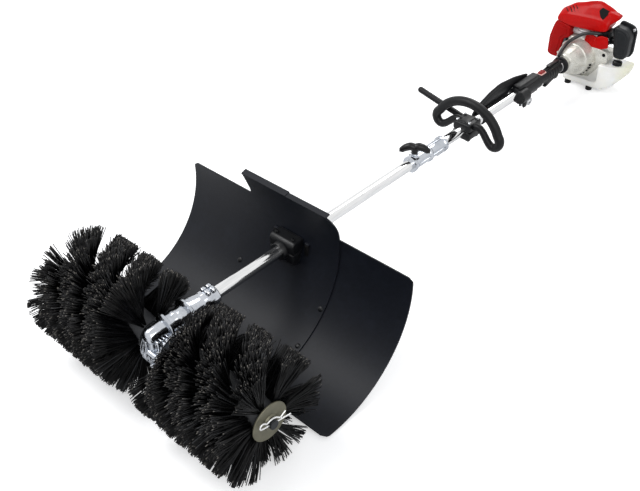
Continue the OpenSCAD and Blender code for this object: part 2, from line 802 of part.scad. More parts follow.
// Steel eye for a harness hook, on a pin between the cheeks
eye_bore = 6;
eye_r = 12;
eye_reach = 36;
eye_swing = 80;
module harness_eye() {
  color("whitesmoke") translate([eye_x, eye_y, eye_z]) rotate([eye_swing, 0, 0]) difference() {
    union() {
      rod_x(eye_pin_r, -9, 9, 0, 0);
      rod_x(7, -2.5, 2.5, 0, 0);
      block([-2.5, -6, -eye_reach], [2.5, 6, 0]);
      rod_x(eye_r, -2.5, 2.5, 0, -eye_reach);
    }
    rod_x(eye_bore, -4, 4, 0, -eye_reach);
  }
}

// Rear grip round the upper tube, with housings for trigger, lockout and switch
grip_r = tube_r + 4;
trig_y = grip_y0 + 98;
trig_z = -tube_r - 9;
lock_y = grip_y0 + 108;
lock_z = tube_r + 9;
slot_half = 5.5;
sw_y0 = grip_y0 + 6;
sw_len = 22;
sw_top = grip_r + 8;
ring_out = 27;
module rear_grip() {
  color("#1b1b1b") difference() {
    union() {
      rod_y(grip_r, grip_y0, grip_y1 + 2);
      rod_y(ring_out, grip_y1, grip_y1 + 10);
      block([-11, grip_y0 + 24, trig_z - 8], [11, grip_y0 + 110, 0]);
      block([-11, grip_y0 + 36, 0], [11, grip_y1, lock_z + 6]);
      block([-10, grip_y0, 0], [10, grip_y0 + 36, grip_r + 3]);
    }
    rod_y(tube_r, grip_y0 - 1, grip_y1 + 12);
    block([-slot_half, grip_y0 + 32, trig_z - 9], [slot_half, grip_y0 + 108, -tube_r - 1.5]);
    rod_x(eye_pin_r + run, -8.5, 8.5, trig_y, trig_z);
    block([-slot_half, grip_y0 + 40, tube_r + 1.5], [slot_half, grip_y1 - 5, lock_z + 7]);
    rod_x(eye_pin_r + run, -8.5, 8.5, lock_y, lock_z);
    block([-7.3, sw_y0 - 0.3, grip_r - 1], [7.3, sw_y0 + sw_len + 6.3, grip_r + 4]);
  }
}

// Throttle trigger under the grip, on its own cross pin
module throttle_trigger() {
  color("#303030") {
    rod_x(eye_pin_r, -8.4, 8.4, trig_y, trig_z);
    plate_x([[trig_y + 5, trig_z + 5], [trig_y + 5, trig_z - 5], [trig_y - 20, trig_z - 14],
      [trig_y - 44, trig_z - 22], [trig_y - 54, trig_z - 21], [trig_y - 51, trig_z - 14],
      [trig_y - 46, trig_z - 7], [trig_y - 16, trig_z + 3]], -5, 5);
  }
}

// Lockout lever on top of the grip
module trigger_lockout() {
  color("#2a2a2a") {
    rod_x(eye_pin_r, -8.4, 8.4, lock_y, lock_z);
    plate_x([[lock_y + 5, lock_z - 5], [lock_y + 5, lock_z + 4], [lock_y - 10, lock_z + 7],
      [lock_y - 48, lock_z + 11], [lock_y - 60, lock_z + 8], [lock_y - 60, lock_z + 4],
      [lock_y - 50, lock_z]], -5, 5);
  }
}

// Red stop switch that slides along the front of the grip
module stop_switch() {
  color("red") {
    block([-7, sw_y0, grip_r - 0.8], [7, sw_y0 + sw_len, sw_top - 3]);
    for (i = [0 : 2]) block([-6, sw_y0 + 4 + 6 * i, sw_top - 3], [6, sw_y0 + 7 + 6 * i, sw_top]);
  }
}

// Throttle cable conduit: grip, round the left of the clutch housing, to the carburettor
cable_r = 4;
cable_route = [
  [-12, -8, 24], [-13, 2, 31], [-16, 14, 36], [-18, 30, 40], [-19, 46, 46], [-13, 60, 53], [-2, 70, 63],
  [9, 80, 70], [23, 85, 77], [37, 88, 79], [50, 93, 78], [57, 99, 80], [60, 104, 80],
  [60, 108, 80]
];
module throttle_cable() {
  color("#141414") translate([0, engine_y, 0])
    sweep(cable_route, [for (p = cable_route) cable_r], 8, [0.2, 0.1, 1]);
}

// Clutch and fan housing: a bell about the crank's axis, from [radius, y] points
bell_len = 92;
module clutch_housing() {
  color("#d8d4c4") translate([0, engine_y, 0]) difference() {
    turn_y([[tube_r, -8], [tube_r + 6, -8], [tube_r + 6, 2], [28, 4], [31, 16], [36, 32], [42, 48], [50, 64],
      [57, 78], [bell_r, 88], [bell_r, bell_len], [bell_r - 4, bell_len], [bell_r - 4, 88], [53, 78],
          [46, 64],
      [38, 48], [34, 38], [22, 32], [drum_brg_r, 22], [drum_brg_r, drum_brg_e], [shaft_r + 4, drum_brg_e],
      [shaft_r + 4, 0], [tube_r, 0]]);
    for (a = [200, 225, 315, 340]) rotate([0, a, 0]) translate([40, 78, 0]) block([0, -7, -4], [30, 7, 4]);
  }
}

// Clutch drum on the end of the drive shaft, and its bearing journal
drum_r = 31;
drum_e = 40;
module clutch_drum() {
  color("slategray") translate([0, engine_y, 0])
    turn_y([[0, 2], [worm_shaft_r, 2], [worm_shaft_r, drum_e], [drum_r, drum_e], [drum_r, drum_e + 20],
      [drum_r - 3, drum_e + 20], [drum_r - 3, drum_e + 3], [0, drum_e + 3]]);
}

// Two clutch shoes just inside the drum
shoe_out = drum_r - 3.6;
crank_r = 8;
module clutch_shoes() {
  color("peru") translate([0, engine_y, 0]) for (s = [0, 180]) rotate([0, s, 0])
    intersection() {
      turn_y([[crank_r, drum_e + 6], [shoe_out, drum_e + 6], [shoe_out, drum_e + 18], [crank_r,
          drum_e + 18]]);
      block([-40, 20, 2], [40, 80, 40]);
    }
}

// Flywheel with fan blades on its front face
fan_r = 46;
blade_count = 12;
module flywheel_fan() {
  color("darkgray") translate([0, engine_y, 0]) {
    turn_y([[crank_r, 64], [18, 64], [18, 79], [fan_r, 79], [fan_r, 85], [crank_r, 85]]);
    for (i = [0 : blade_count - 1]) rotate([0, 360 * i / blade_count, 0])
      block([24, 71, -1.5], [fan_r - 2, 80, 1.5]);
  }
}

// Crankshaft with two webs and a crank pin
case_e0 = bell_len;
case_e1 = 160;
web_r = 30;
throw_r = 14;
cyl_e = 126;
crank_end = 186;
module crankshaft() {
  color("lightslategray") translate([0, engine_y, 0]) {
    rod_y(crank_r, drum_e + 4, cyl_e - 8);
    rod_y(crank_r, cyl_e + 8, crank_end);
    for (e = [cyl_e - 18, cyl_e + 8]) rod_y(web_r, e, e + 10);
    rod_y(7, cyl_e - 8, cyl_e + 8, throw_r, 0);
  }
}

// Crankcase: a block bored for the webs, a plate behind the fan and a pad under the carburettor
crank_x = 46;
crank_low = -bell_r - 2;
crank_up = 46;
plate_up = 34;
plate_e = case_e0 + 10;
module crankcase() {
  color("#cfcabb") translate([0, engine_y, 0]) difference() {
    union() {
      block([-crank_x, case_e0, crank_low], [crank_x, plate_e, plate_up]);
      block([-crank_x, plate_e, crank_low], [crank_x, case_e1, crank_up]);
      plate_y([[-57, -40], [-57, 20], [-40, plate_up], [70, plate_up], [74, 28], [74, -10], [60, -40],
        [46, crank_low], [-40, crank_low]], case_e0, plate_e);
      block([crank_x - 1, 106, -2], [96, 150, 26]);
    }
    rod_y(web_r + 4, cyl_e - 22, cyl_e + 22);
    rod_y(crank_r + run, case_e0 - 1, case_e1 + 1);
    rod_z(bore_r, 0, crank_up + 1, 0, cyl_e);
  }
}

// Cooled cylinder over the crankcase
bore_r = 15;
fin_r = 27;
fin_count = 6;
cyl_top = 124;
port_r = 11;
module cylinder_block() {
  color("gainsboro") translate([0, engine_y, 0]) difference() {
    union() {
      rod_z(bore_r + 4, crank_up, cyl_top, 0, cyl_e);
      for (i = [0 : fin_count - 1])
        rod_z(fin_r, crank_up + 16 + 9 * i, crank_up + 19 + 9 * i, 0, cyl_e);
      rod_x(port_r, -port_x, 0, cyl_e, port_z);
      rod_x(port_r, 0, port_x, cyl_e, port_z);
    }
    rod_z(bore_r, crank_up - 1, cyl_top - 12, 0, cyl_e);
    rod_x(6, -port_x - 1, port_x + 1, cyl_e, port_z);
  }
}

// Exhaust and intake ports face left and right
port_x = 44;
port_z = 58;

// Red top cover: a hood over three outlines in X and Z, with a beak to the right
cover_e0 = 95;
ridge_e = 122;
cover_e1 = 158;
skin = 3;
hood_front = [[-91, 86], [-43, 77], [41, 82], [75, 90], [78, 112], [60, 121], [0, 119], [-60, 110], [-86,
    100]];
hood_ridge = [[-88, 86], [-43, 77], [41, 82], [75, 90], [86, 143], [60, cover_top - 8], [34, cover_top],
  [9, cover_top - 3], [-45, 138], [-67, 129], [-84, 114]];
hood_back = [[-80, 88], [-43, 80], [41, 84], [74, 92], [74, 112], [60, 126], [30, 134], [0, 130], [-50, 112],
  [-76, 100]];
function hood_in(pts) = [for (p = pts) [p[0] * 0.955, p[1] < 95 ? p[1] - 12 : p[1] - 3.6]];
module top_cover() {
  color("red") translate([0, engine_y, 0]) {
    difference() {
      union() {
        hull() {
          plate_y(hood_front, cover_e0, cover_e0 + 0.1);
          plate_y(hood_ridge, ridge_e, ridge_e + 6);
          plate_y(hood_back, cover_e1 - 0.1, cover_e1);
        }
        plate_y([[74, 98], [82, 115], [97, 127], [104, 135], [106, 143], [84, 148], [74, 148]], 104, 124);
      }
      hull() {
        plate_y(hood_in(hood_front), cover_e0 + skin, cover_e0 + skin + 0.1);
        plate_y(hood_in(hood_ridge), ridge_e, ridge_e + 6);
        plate_y(hood_in(hood_back), cover_e1 - skin - 0.1, cover_e1 - skin);
      }
      for (i = [0 : 3]) block([-63 + 10 * i, cover_e0 + 2, 104 + 5 * i], [-59 + 10 * i, cover_e0 + 18, 150]);
      plate_y([[39, 144], [51, 149], [70, 144], [56, 124], [42, 133]], cover_e0 - 1, 121);
    }
    rod_z(5, cyl_top, cover_top - 14, -14, cyl_e);
    rod_z(5, cyl_top, cover_top - 4, 14, cyl_e);
  }
}

// Muffler box on the exhaust port
muf_x0 = -86;
muf_x1 = -54;
muf_e0 = plate_e + 1;
module muffler() {
  color("darkslategray") translate([0, engine_y, 0]) difference() {
    union() {
      block([muf_x0, muf_e0, -20], [muf_x1, 156, 74]);
      rod_x(port_r, muf_x1 - 1, -port_x, cyl_e, port_z);
    }
    block([muf_x0 + 2, muf_e0 + 2, -18], [muf_x1 - 2, 154, 72]);
    rod_x(6, muf_x1 - 3, -port_x + 1, cyl_e, port_z);
  }
}

// Red cover round the muffler, open toward the engine, with a wide front
mcov_pts = [[-107, -22], [-107, 29], [-98, 67], [-90, 85], [-43, 76.3], [-40, 70], [-38, 42], [-60, 30],
    [-63, 0],
  [-66, -34], [-92, -34], [-104, -29]];
mcov_inner = [[-104, -20], [-104, 28.6], [-95.2, 66], [-88, 81.5], [-30, 70.8], [-30, -31], [-91, -31],
    [-101.5, -27]];
module muffler_cover() {
  color("firebrick") translate([0, engine_y, 0]) difference() {
    plate_y(mcov_pts, cover_e0, 164);
    plate_y(mcov_inner, cover_e0 + skin, 164 - skin);
  }
  color("firebrick") translate([0, engine_y, 0])
    for (e = [110, 138]) block([mcov_pts[0][0] + 1, e, 10], [muf_x0, e + 10, 20]);
}

// Red shroud in front of the cylinder, over the plate behind the fan
module lower_shroud() {
  color("crimson") translate([0, engine_y, 0])
    plate_y([[9, 38], [30, plate_up + 0.3], [70, plate_up + 0.3], [92, 44], [86, 76], [62, 76], [50, 68],
        [36, 72], [16, 66]],
      case_e0 + 0.5, case_e0 + 5);
}

// Carburettor block with a neck and the filter's slanted base plate
carb_x0 = port_x;
carb_x1 = 86;
module carburettor() {
  color("#2b2b2b") translate([0, engine_y, 0]) difference() {
    union() {
      block([carb_x0, 108, crank_up], [carb_x1, 146, 88]);
      rod_x(port_r, carb_x1 - 1, 111, cyl_e, port_z);
      plate_y([[93, 108], [96.8, 108], [119.5, 32], [115.7, 32]], filt_e0, filt_e1);
    }
    rod_x(6, carb_x0 - 1, 125, cyl_e, port_z);
    rod_y(choke_pin_r + run, 100, 118, choke_x, choke_z);
  }
}

// Choke lever on the front of the carburettor
choke_x = 78;
choke_z = 64;
choke_pin_r = 3;
module choke_lever() {
  color("#e8e8e8") translate([0, engine_y, 0]) {
    rod_y(choke_pin_r, 103, 117, choke_x, choke_z);
    rod_y(6, 103, 107.5, choke_x, choke_z);
    block([choke_x - 24, 103, choke_z - 4], [choke_x, 107.5, choke_z + 4]);
  }
}

// Air filter cover with a flange at its back, open on the carburettor's slanted side
filt_e0 = 95;
filt_e1 = 137;
flange_e = 130;
body_x = filter_out - 5;
module filter_cover() {
  color("#1f2326") translate([0, engine_y, 0]) difference() {
    union() {
      plate_y([[121, 30], [128, 20], [143, 20], [body_x, 36], [body_x, 94], [137, 111], [104, 117], [97,
          110]],
        filt_e0, filt_e1);
      plate_y([[121, 30], [126, 16], [146, 16], [filter_out, 34], [filter_out - 1, 104], [144, 118],
          [106, 125], [99, 119],
        [97, 110]], flange_e, filt_e1);
    }
    plate_y([[124, 33.5], [129.5, 23], [141.5, 23], [body_x - skin, 37], [body_x - skin, 93], [135.5,
        108], [104.8, 113.8],
      [101, 109], [93, 106], [114, 33.5]], filt_e0 + skin, filt_e1 - skin);
    rod_y(fk_r + run, flange_e - 1, filt_e1 + 1, fk_x, fk_z);
  }
}

// Screw that holds the filter cover, in the flange's corner
fk_x = filter_out - 9;
fk_z = 107;
fk_r = 2.5;
module filter_knob() {
  color("#3c4044") translate([0, engine_y, 0]) {
    rod_y(fk_r, flange_e - 2, filt_e1 + 2, fk_x, fk_z);
    rod_y(4.5, flange_e - 6, flange_e - 0.3, fk_x, fk_z);
    block([fk_x - 1, flange_e - 8.5, fk_z - 4], [fk_x + 1, flange_e - 5.5, fk_z + 4]);
  }
}

// Fuel tank under the engine, with a taller side under the filter and its front corner rounded off
tank_e0 = 78;
tank_e1 = 165;
tank_x0 = -34;
tank_x1 = 150;
tank_flat = crank_low;
tower_x = 84;
tower_z = -8;
tank_skin = 3;
tank_corner = [[90, 60], [90, 78], [115, 88], [135, 104], [147, 124], [151, 146], [190, 146], [190, 60]];
module tank_shape(i) {
  difference() {
    plate_y([[tank_x0 + i, -tank_drop + 8 + i], [tank_x0 + 8 + i, -tank_drop + i],
      [92, -tank_drop + i], [118 - i, -tank_drop + 16 + i], [138 - i, -tank_drop + 38], [tank_x1 - i,
          -tank_drop + 66],
      [tank_x1 - i, tower_z - i], [tower_x + i, tower_z - i], [tower_x + i, tank_flat - i],
      [tank_x0 + i, tank_flat - i]], tank_e0 + i, tank_e1 - i);
    translate([-0.8 * i, 0.8 * i, -150]) linear_extrude(200) polygon(tank_corner);
  }
}

module fuel_tank() {
  color("#f4f4f0") translate([0, engine_y, 0]) difference() {
    union() {
      tank_shape(0);
      rod_z(13, tower_z - 1, tower_z + 6, cap_x, cap_e);
    }
    tank_shape(tank_skin);
    rod_z(10, tower_z - 8, tower_z + 7, cap_x, cap_e);
  }
}

// Fuel cap over the filler neck
cap_x = 122;
cap_e = 114;
cap_r = 17;
module fuel_cap() {
  color("#111111") translate([0, engine_y, 0]) {
    difference() {
      rod_z(cap_r, tower_z + 0.3, tower_z + 12, cap_x, cap_e);
      rod_z(13.3, tower_z, tower_z + 6.3, cap_x, cap_e);
    }
    rod_z(9.7, tower_z + 1, tower_z + 8, cap_x, cap_e);
    block([cap_x - 13, cap_e - 2, tower_z + 12], [cap_x + 13, cap_e + 2, tower_z + 15]);
  }
}

// Rubber feet under the tank, cut off level with the ground
module tank_feet() {
  color("#0c0c0c") difference() {
    for (x = feet_x, e = feet_e) rod_z(feet_r, -tank_drop - 40, -tank_drop, x, engine_y + e);
    below_ground();
  }
}

// Starter housing on the back of the crankcase
start_r = 52;
module starter_housing() {
  color("#303236") translate([0, engine_y, 0]) difference() {
    rod_y(start_r, case_e1, start_e1);
    rod_y(start_r - 4, case_e1 - 1, start_e1 - 5);
    rod_y(4, start_e1 - 6, start_e1 + 1, pull_x, pull_z);
    for (i = [-2 : 2]) block([-24 + (i + 2) * 10 + 10, start_e1 - 6, -34], [-19 + (i + 2) * 10 + 10,
        start_e1 + 1, -8]);
  }
}

// Pull handle of the starter: a bar on a short stub in the rope hole
module starter_handle() {
  color("#0f0f0f") translate([0, engine_y, 0]) {
    rod_y(3.9, start_e1 - 5, start_e1 + 4, pull_x, pull_z);
    rod_y(8, start_e1 + 0.4, start_e1 + 8, pull_x, pull_z);
    block([pull_x - 22, start_e1 + 4, pull_z - pull_h], [pull_x + 22, start_e1 + pull_d, pull_z + pull_h]);
  }
}

place() gearbox_housing();
place() gearbox_cover();
place() gearbox_screws();
place() bearings();
place() worm_shaft();
place() worm_wheel();
place() brush_axle();
place() brush_cores();
place() bristles_left();
place() bristles_right();
place() end_discs();
place() r_clips();
place() lower_tube();
place() upper_tube();
place() lower_drive_shaft();
place() upper_drive_shaft();
place() tube_bushings();
place() shield_centre();
place() shield_wing_left();
place() shield_wing_right();
place() shield_clamp();
place() shield_clamp_cap();
place() shield_bolts();
place() coupler_body();
place() coupler_bolts();
place() coupler_knob();
place() lock_pin();
place() loop_handle();
place() handle_clamp();
place() handle_clamp_cap();
place() handle_bolts();
place() barrier_bar();
place() hip_pad();
place() harness_clamp();
place() harness_eye();
place() rear_grip();
place() throttle_trigger();
place() trigger_lockout();
place() stop_switch();
place() throttle_cable();
place() clutch_housing();
place() clutch_drum();
place() clutch_shoes();
place() flywheel_fan();
place() crankshaft();
place() crankcase();
place() cylinder_block();
place() top_cover();
place() muffler();
place() muffler_cover();
place() lower_shroud();
place() carburettor();
place() choke_lever();
place() filter_cover();
place() filter_knob();
place() fuel_tank();
place() fuel_cap();
place() tank_feet();
place() starter_housing();
place() starter_handle();
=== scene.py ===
import math
import bpy
import numpy as np
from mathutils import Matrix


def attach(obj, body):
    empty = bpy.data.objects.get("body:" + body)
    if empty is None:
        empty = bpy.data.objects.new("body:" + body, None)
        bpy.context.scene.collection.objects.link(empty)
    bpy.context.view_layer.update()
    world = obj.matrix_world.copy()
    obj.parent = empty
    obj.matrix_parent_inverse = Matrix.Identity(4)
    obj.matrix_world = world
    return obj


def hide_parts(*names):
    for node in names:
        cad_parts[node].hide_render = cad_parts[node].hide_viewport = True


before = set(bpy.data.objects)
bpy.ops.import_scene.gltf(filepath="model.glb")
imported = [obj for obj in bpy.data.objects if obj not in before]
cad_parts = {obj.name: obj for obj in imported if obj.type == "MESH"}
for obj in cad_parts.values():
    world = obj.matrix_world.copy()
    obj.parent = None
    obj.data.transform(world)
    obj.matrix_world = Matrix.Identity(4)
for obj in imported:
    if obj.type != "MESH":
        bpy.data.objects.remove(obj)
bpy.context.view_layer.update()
scene = bpy.context.scene

# Studio: a plain pale floor and soft light all round, as in a catalogue picture on white.
# The camera stands to the front right, well above the brush, and looks along the tube to the engine.
# Sizes are in millimetres on the level tool: X along the brush, Y to the engine, Z up from the tube.
TILT, MIDDLE, HEIGHT = math.radians(3.08596), 806.19, 187.927


def stand(points):
    """Points of the level tool in mm, turned about X by the tilt and set on the ground, in metres."""
    p = np.asarray(points, float)
    c, s = math.cos(TILT), math.sin(TILT)
    y, z = p[..., 1], p[..., 2]
    return np.stack([p[..., 0], y * c + z * s - MIDDLE, z * c - y * s + HEIGHT], -1) / 1000


turn, rise, lean = 0.763559, 0.666511, -0.025773
RIGHT_MM, UP_MM, BACK_MM = 312.895, 164.347, 1689.559
FOCAL_PX, WIDTH_PX, SENSOR_MM = 842.3, 640, 36
back = np.array([math.sin(turn) * math.cos(rise), -math.cos(turn) * math.cos(rise), math.sin(rise)])
level = np.array([math.cos(turn), math.sin(turn), 0])
upward = np.cross(back, level)
right = math.cos(lean) * level + math.sin(lean) * upward
upright = math.cos(lean) * upward - math.sin(lean) * level
spot = RIGHT_MM * right + UP_MM * upright + BACK_MM * back
axes = (stand(np.array([right, upright, back])) - stand(np.zeros(3))) * 1000
camera = bpy.data.objects.new("camera", bpy.data.cameras.new("camera"))
camera.data.sensor_width = SENSOR_MM
camera.data.lens = FOCAL_PX * SENSOR_MM / WIDTH_PX
camera.data.clip_start, camera.data.clip_end = 0.05, 40
pose = np.eye(4)
pose[:3, :3], pose[:3, 3] = axes.T, stand(spot)
camera.matrix_world = pose.T.tolist()
scene.collection.objects.link(camera)
scene.camera = camera
scene.view_settings.view_transform = "Standard"


def put(tree, inputs, values):
    """Input sockets, by name or place: each takes a link from an output socket, or else a constant."""
    for key, value in values.items():
        if isinstance(value, bpy.types.NodeSocket):
            tree.links.new(value, inputs[key])
        else:
            inputs[key].default_value = value


def node(tree, kind, values={}, **fields):
    """Output sockets of a new shader node of a kind, made with these fields and then these inputs."""
    new = tree.nodes.new("ShaderNode" + kind)
    for key, value in fields.items():
        setattr(new, key, value)
    put(tree, new.inputs, values)
    return new.outputs


def shader(name, values):
    """New material with these values on its main shader, returned with its tree and that shader's inputs."""
    m = bpy.data.materials.new(name)
    m.use_nodes = True
    main = m.node_tree.nodes["Principled BSDF"].inputs
    put(m.node_tree, main, values)
    return m, m.node_tree, main


world = bpy.data.worlds.new("studio")
scene.world = world
world.use_nodes = True
tree = world.node_tree
path = node(tree, "LightPath")
seen = node(tree, "Math", {0: path["Is Camera Ray"], 1: path["Is Glossy Ray"]}, operation="MAXIMUM")
shade = node(tree, "Mix", {"Factor": seen[0], "A": (0.52, 0.53, 0.55, 1), "B": (1, 1, 1, 1)}, data_type="RGBA")
put(tree, tree.nodes["Background"].inputs, {"Color": shade["Result"]})

floor_mesh = bpy.data.meshes.new("floor")
floor_mesh.from_pydata([(-7, -7, 0), (7, -7, 0), (7, 7, 0), (-7, 7, 0)], [], [(0, 1, 2, 3)])
floor = bpy.data.objects.new("floor", floor_mesh)
scene.collection.objects.link(floor)
floor_paint, tree, paper = shader("floor_paper", {
    "Base Color": (0.86, 0.86, 0.86, 1), "Roughness": 1, "Specular IOR Level": 0,
    "Emission Color": (0.42, 0.42, 0.42, 1)})
put(tree, paper, {"Emission Strength": node(tree, "LightPath")["Is Camera Ray"]})
floor_mesh.materials.append(floor_paint)


def lamp(name, place, aim, size, power):
    """Square soft lamp at a point in metres, facing another point."""
    data = bpy.data.lights.new(name, "AREA")
    data.size, data.energy = size, power
    obj = bpy.data.objects.new(name, data)
    way = np.array(aim, float) - place
    way /= np.linalg.norm(way)
    side = np.cross(way, (0, 0, 1))
    side /= np.linalg.norm(side)
    m = np.eye(4)
    m[:3, 0], m[:3, 1], m[:3, 2], m[:3, 3] = side, np.cross(side, way), -way, place
    obj.matrix_world = m.T.tolist()
    scene.collection.objects.link(obj)
    return obj


key = lamp("key_lamp", (-1.6, -1.2, 2.9), (0, 0, 0.1), 1.6, 60)
fill = lamp("fill_lamp", (2.4, -1.6, 2.2), (0, -0.2, 0.1), 2.2, 34)
rear = lamp("rear_lamp", (-0.6, 2.6, 2.3), (0, 0.5, 0.2), 1.5, 30)

# Gearbox: a bright aluminium casting. A ribbed wheel case lies across the axle and a slim worm case
# with two ring flanges runs up to the collar, which pinches the tube with two screws.
# A side cover closes the wheel case, held by five screws in cast lugs.


def shell(P, ends=True):
    """Skin over a grid of points: rows joined along, columns joined round, a fan over each end row.
    Its faces are turned round where the volume that they close comes out negative."""
    P = np.asarray(P, float)
    n, m = P.shape[:2]
    i, j = np.mgrid[0:n - 1, 0:m]
    k = (j + 1) % m
    quads = np.stack([i * m + j, i * m + k, (i + 1) * m + k, (i + 1) * m + j], -1).reshape(-1, 4)
    V, tris = P.reshape(-1, 3), np.zeros((0, 3), int)
    if ends:
        V = np.vstack([V, P[0].mean(0), P[-1].mean(0)])
        a = np.arange(m)
        b = (a + 1) % m
        tris = np.vstack([np.stack([b, a, np.full(m, n * m)], 1),
                          np.stack([a + (n - 1) * m, b + (n - 1) * m, np.full(m, n * m + 1)], 1)])
    T = np.vstack([quads[:, :3], quads[:, [0, 2, 3]], tris])
    if np.einsum("ij,ij->", V[T[:, 0]], np.cross(V[T[:, 1]], V[T[:, 2]])) < 0:
        quads, tris = quads[:, ::-1], tris[:, ::-1]
    return V, quads, tris


def axis_frame(axis):
    """Unit vectors (along, first, second) of a right-handed frame on one of the three axes."""
    e = np.eye(3)
    k = "xyz".index(axis)
    return e[k], e[(k + 1) % 3], e[(k + 2) % 3]


def rings(profile, axis, at, n, sink=0.0):
    """Grid of revolution: at + t*axis + r*(cos a*first + sin a*second) - sink*first for each (r, t)."""
    w, u, v = axis_frame(axis)
    r, t = np.array(profile, float).T
    a = np.linspace(0, 2 * np.pi, n, endpoint=False)
    ring = np.cos(a)[:, None] * u + np.sin(a)[:, None] * v
    low = np.broadcast_to(sink, len(r))[:, None, None] * u
    return np.array(at) + t[:, None, None] * w + r[:, None, None] * ring - low


def turned(profile, axis, at=(0, 0, 0), n=56):
    """Solid of revolution of a profile of (radius, place along), closed at both ends."""
    return shell(rings(profile, axis, at, n))


def peg(r, t0, t1, axis, at=(0, 0, 0), n=20):
    """Plain round bar of radius r from t0 to t1 along an axis."""
    return turned([(0, t0), (r, t0), (r, t1), (0, t1)], axis, at, n)


def bored(outer, inner, axis, at=(0, 0, 0), n=56, sink=0.0):
    """Ring of revolution: the outer profile, then the inner one back again, closed on itself.
    Each ring may sink by its own amount against the first cross direction."""
    V, quads, tris = shell(rings(list(outer) + list(inner) + [outer[0]], axis, at, n, sink), ends=False)
    last = len(V) - n
    return V[:last], np.where(quads >= last, quads - last, quads), tris


def block(lo, hi, r=2, k=4):
    """Box with rounded edges: each corner's point is the inner corner plus r times a ball's normal."""
    lo, hi = np.array(lo, float), np.array(hi, float)
    q = np.linspace(0, np.pi / 2, k)
    lat = np.concatenate([np.linspace(1.4, 0, k), np.linspace(0, -1.4, k)])
    up = np.repeat([1, -1], k)
    lon = (q + np.arange(4)[:, None] * np.pi / 2).ravel()
    sx, sy = np.repeat([1, -1, -1, 1], k), np.repeat([1, 1, -1, -1], k)
    n = np.stack([np.cos(lat)[:, None] * np.cos(lon), np.cos(lat)[:, None] * np.sin(lon),
                  np.repeat(np.sin(lat)[:, None], 4 * k, 1)], -1)
    s = np.stack(np.broadcast_arrays(sx[None, :], sy[None, :], up[:, None]), -1)
    return shell((lo + hi) / 2 + s * ((hi - lo) / 2 - r) + r * n)


def spun(part, axis, degrees, at=(0, 0, 0)):
    """A part turned about an axis through a point."""
    w, u, v = axis_frame(axis)
    c, s = math.cos(math.radians(degrees)), math.sin(math.radians(degrees))
    turn = np.outer(w, w) + np.outer(u, c * u + s * v) + np.outer(v, c * v - s * u)
    return (part[0] - at) @ turn + at, part[1], part[2]


def moved(part, by):
    """A part shifted by a vector."""
    return part[0] + by, part[1], part[2]


def piece(name, parts, paint, cad_name=None, body="frame", crease=35):
    """One mesh of several closed skins on the ground frame, riding on a body in place of a CAD node."""
    sizes = np.cumsum([0] + [len(p[0]) for p in parts])
    V = np.vstack([p[0] for p in parts])
    quads = np.vstack([p[1] + o for p, o in zip(parts, sizes)])
    tris = np.vstack([p[2] + o for p, o in zip(parts, sizes)])
    mesh = bpy.data.meshes.new(name)
    mesh.from_pydata(stand(V).tolist(), [], quads.tolist() + tris.tolist())
    mesh.validate()
    mesh.shade_smooth()
    mesh.set_sharp_from_angle(angle=math.radians(crease))
    obj = bpy.data.objects.new(name, mesh)
    scene.collection.objects.link(obj)
    mesh.materials.append(paint)
    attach(obj, body)
    if cad_name:
        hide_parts(cad_name)
    return obj


def repaint(paint, *names):
    """CAD nodes that are shown as they are, in a finish of the scene."""
    for name in names:
        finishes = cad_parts[name].data.materials
        finishes.clear()
        finishes.append(paint)


def make_group(name, inputs, outputs):
    """Shader node group with named sockets, returned with those for what is given and what is made."""
    g = bpy.data.node_groups.new(name, "ShaderNodeTree")
    for way, labels in (("INPUT", inputs), ("OUTPUT", outputs)):
        for label in labels:
            kind = "NodeSocketVector" if label in ("Vector", "Normal") else "NodeSocketFloat"
            g.interface.new_socket(label, in_out=way, socket_type=kind)
    return g, g.nodes.new("NodeGroupInput").outputs, g.nodes.new("NodeGroupOutput").inputs


# grain: two sizes of noise, as a broad tone, a fine grain, and the fine grain's bump
WIDE_SHARE = 0.09
grain, given, made = make_group("grain", ("Vector", "Scale", "Depth"), ("Tone", "Fine", "Normal"))
part = node(grain, "Math", {0: given["Scale"], 1: WIDE_SHARE}, operation="MULTIPLY")
wide = node(grain, "TexNoise", {"Vector": given["Vector"], "Scale": part[0], "Detail": 4})
fine = node(grain, "TexNoise", {"Vector": given["Vector"], "Scale": given["Scale"], "Detail": 3})
bump = node(grain, "Bump", {"Strength": given["Depth"], "Distance": 0.001, "Height": fine[0]})
put(grain, made, {"Tone": wide[0], "Fine": fine[0], "Normal": bump["Normal"]})

# scuff_and_reflection: rubbed and dusty places, where rough noise rises over a level, times Amount; on the cast
# alloy these are painted dark reflections
scuff_and_reflection, given, made = make_group("scuff_and_reflection", ("Vector", "Amount"), ("Mask",))
noise = node(scuff_and_reflection, "TexNoise", {"Vector": given["Vector"], "Scale": 16, "Detail": 8, "Roughness": 0.68})
over = node(scuff_and_reflection, "MapRange", {"Value": noise[0], "From Min": 0.52, "From Max": 0.78})
part = node(scuff_and_reflection, "Math", {0: over[0], 1: given["Amount"]}, operation="MULTIPLY")
put(scuff_and_reflection, made, {"Mask": part[0]})


def colour(code):
    """Linear colour, fully opaque, from a hexadecimal screen colour."""
    c = np.array([int(code[i:i + 2], 16) / 255 for i in (0, 2, 4)])
    return (*np.where(c <= 0.04045, c / 12.92, ((c + 0.055) / 1.055) ** 2.4).tolist(), 1)


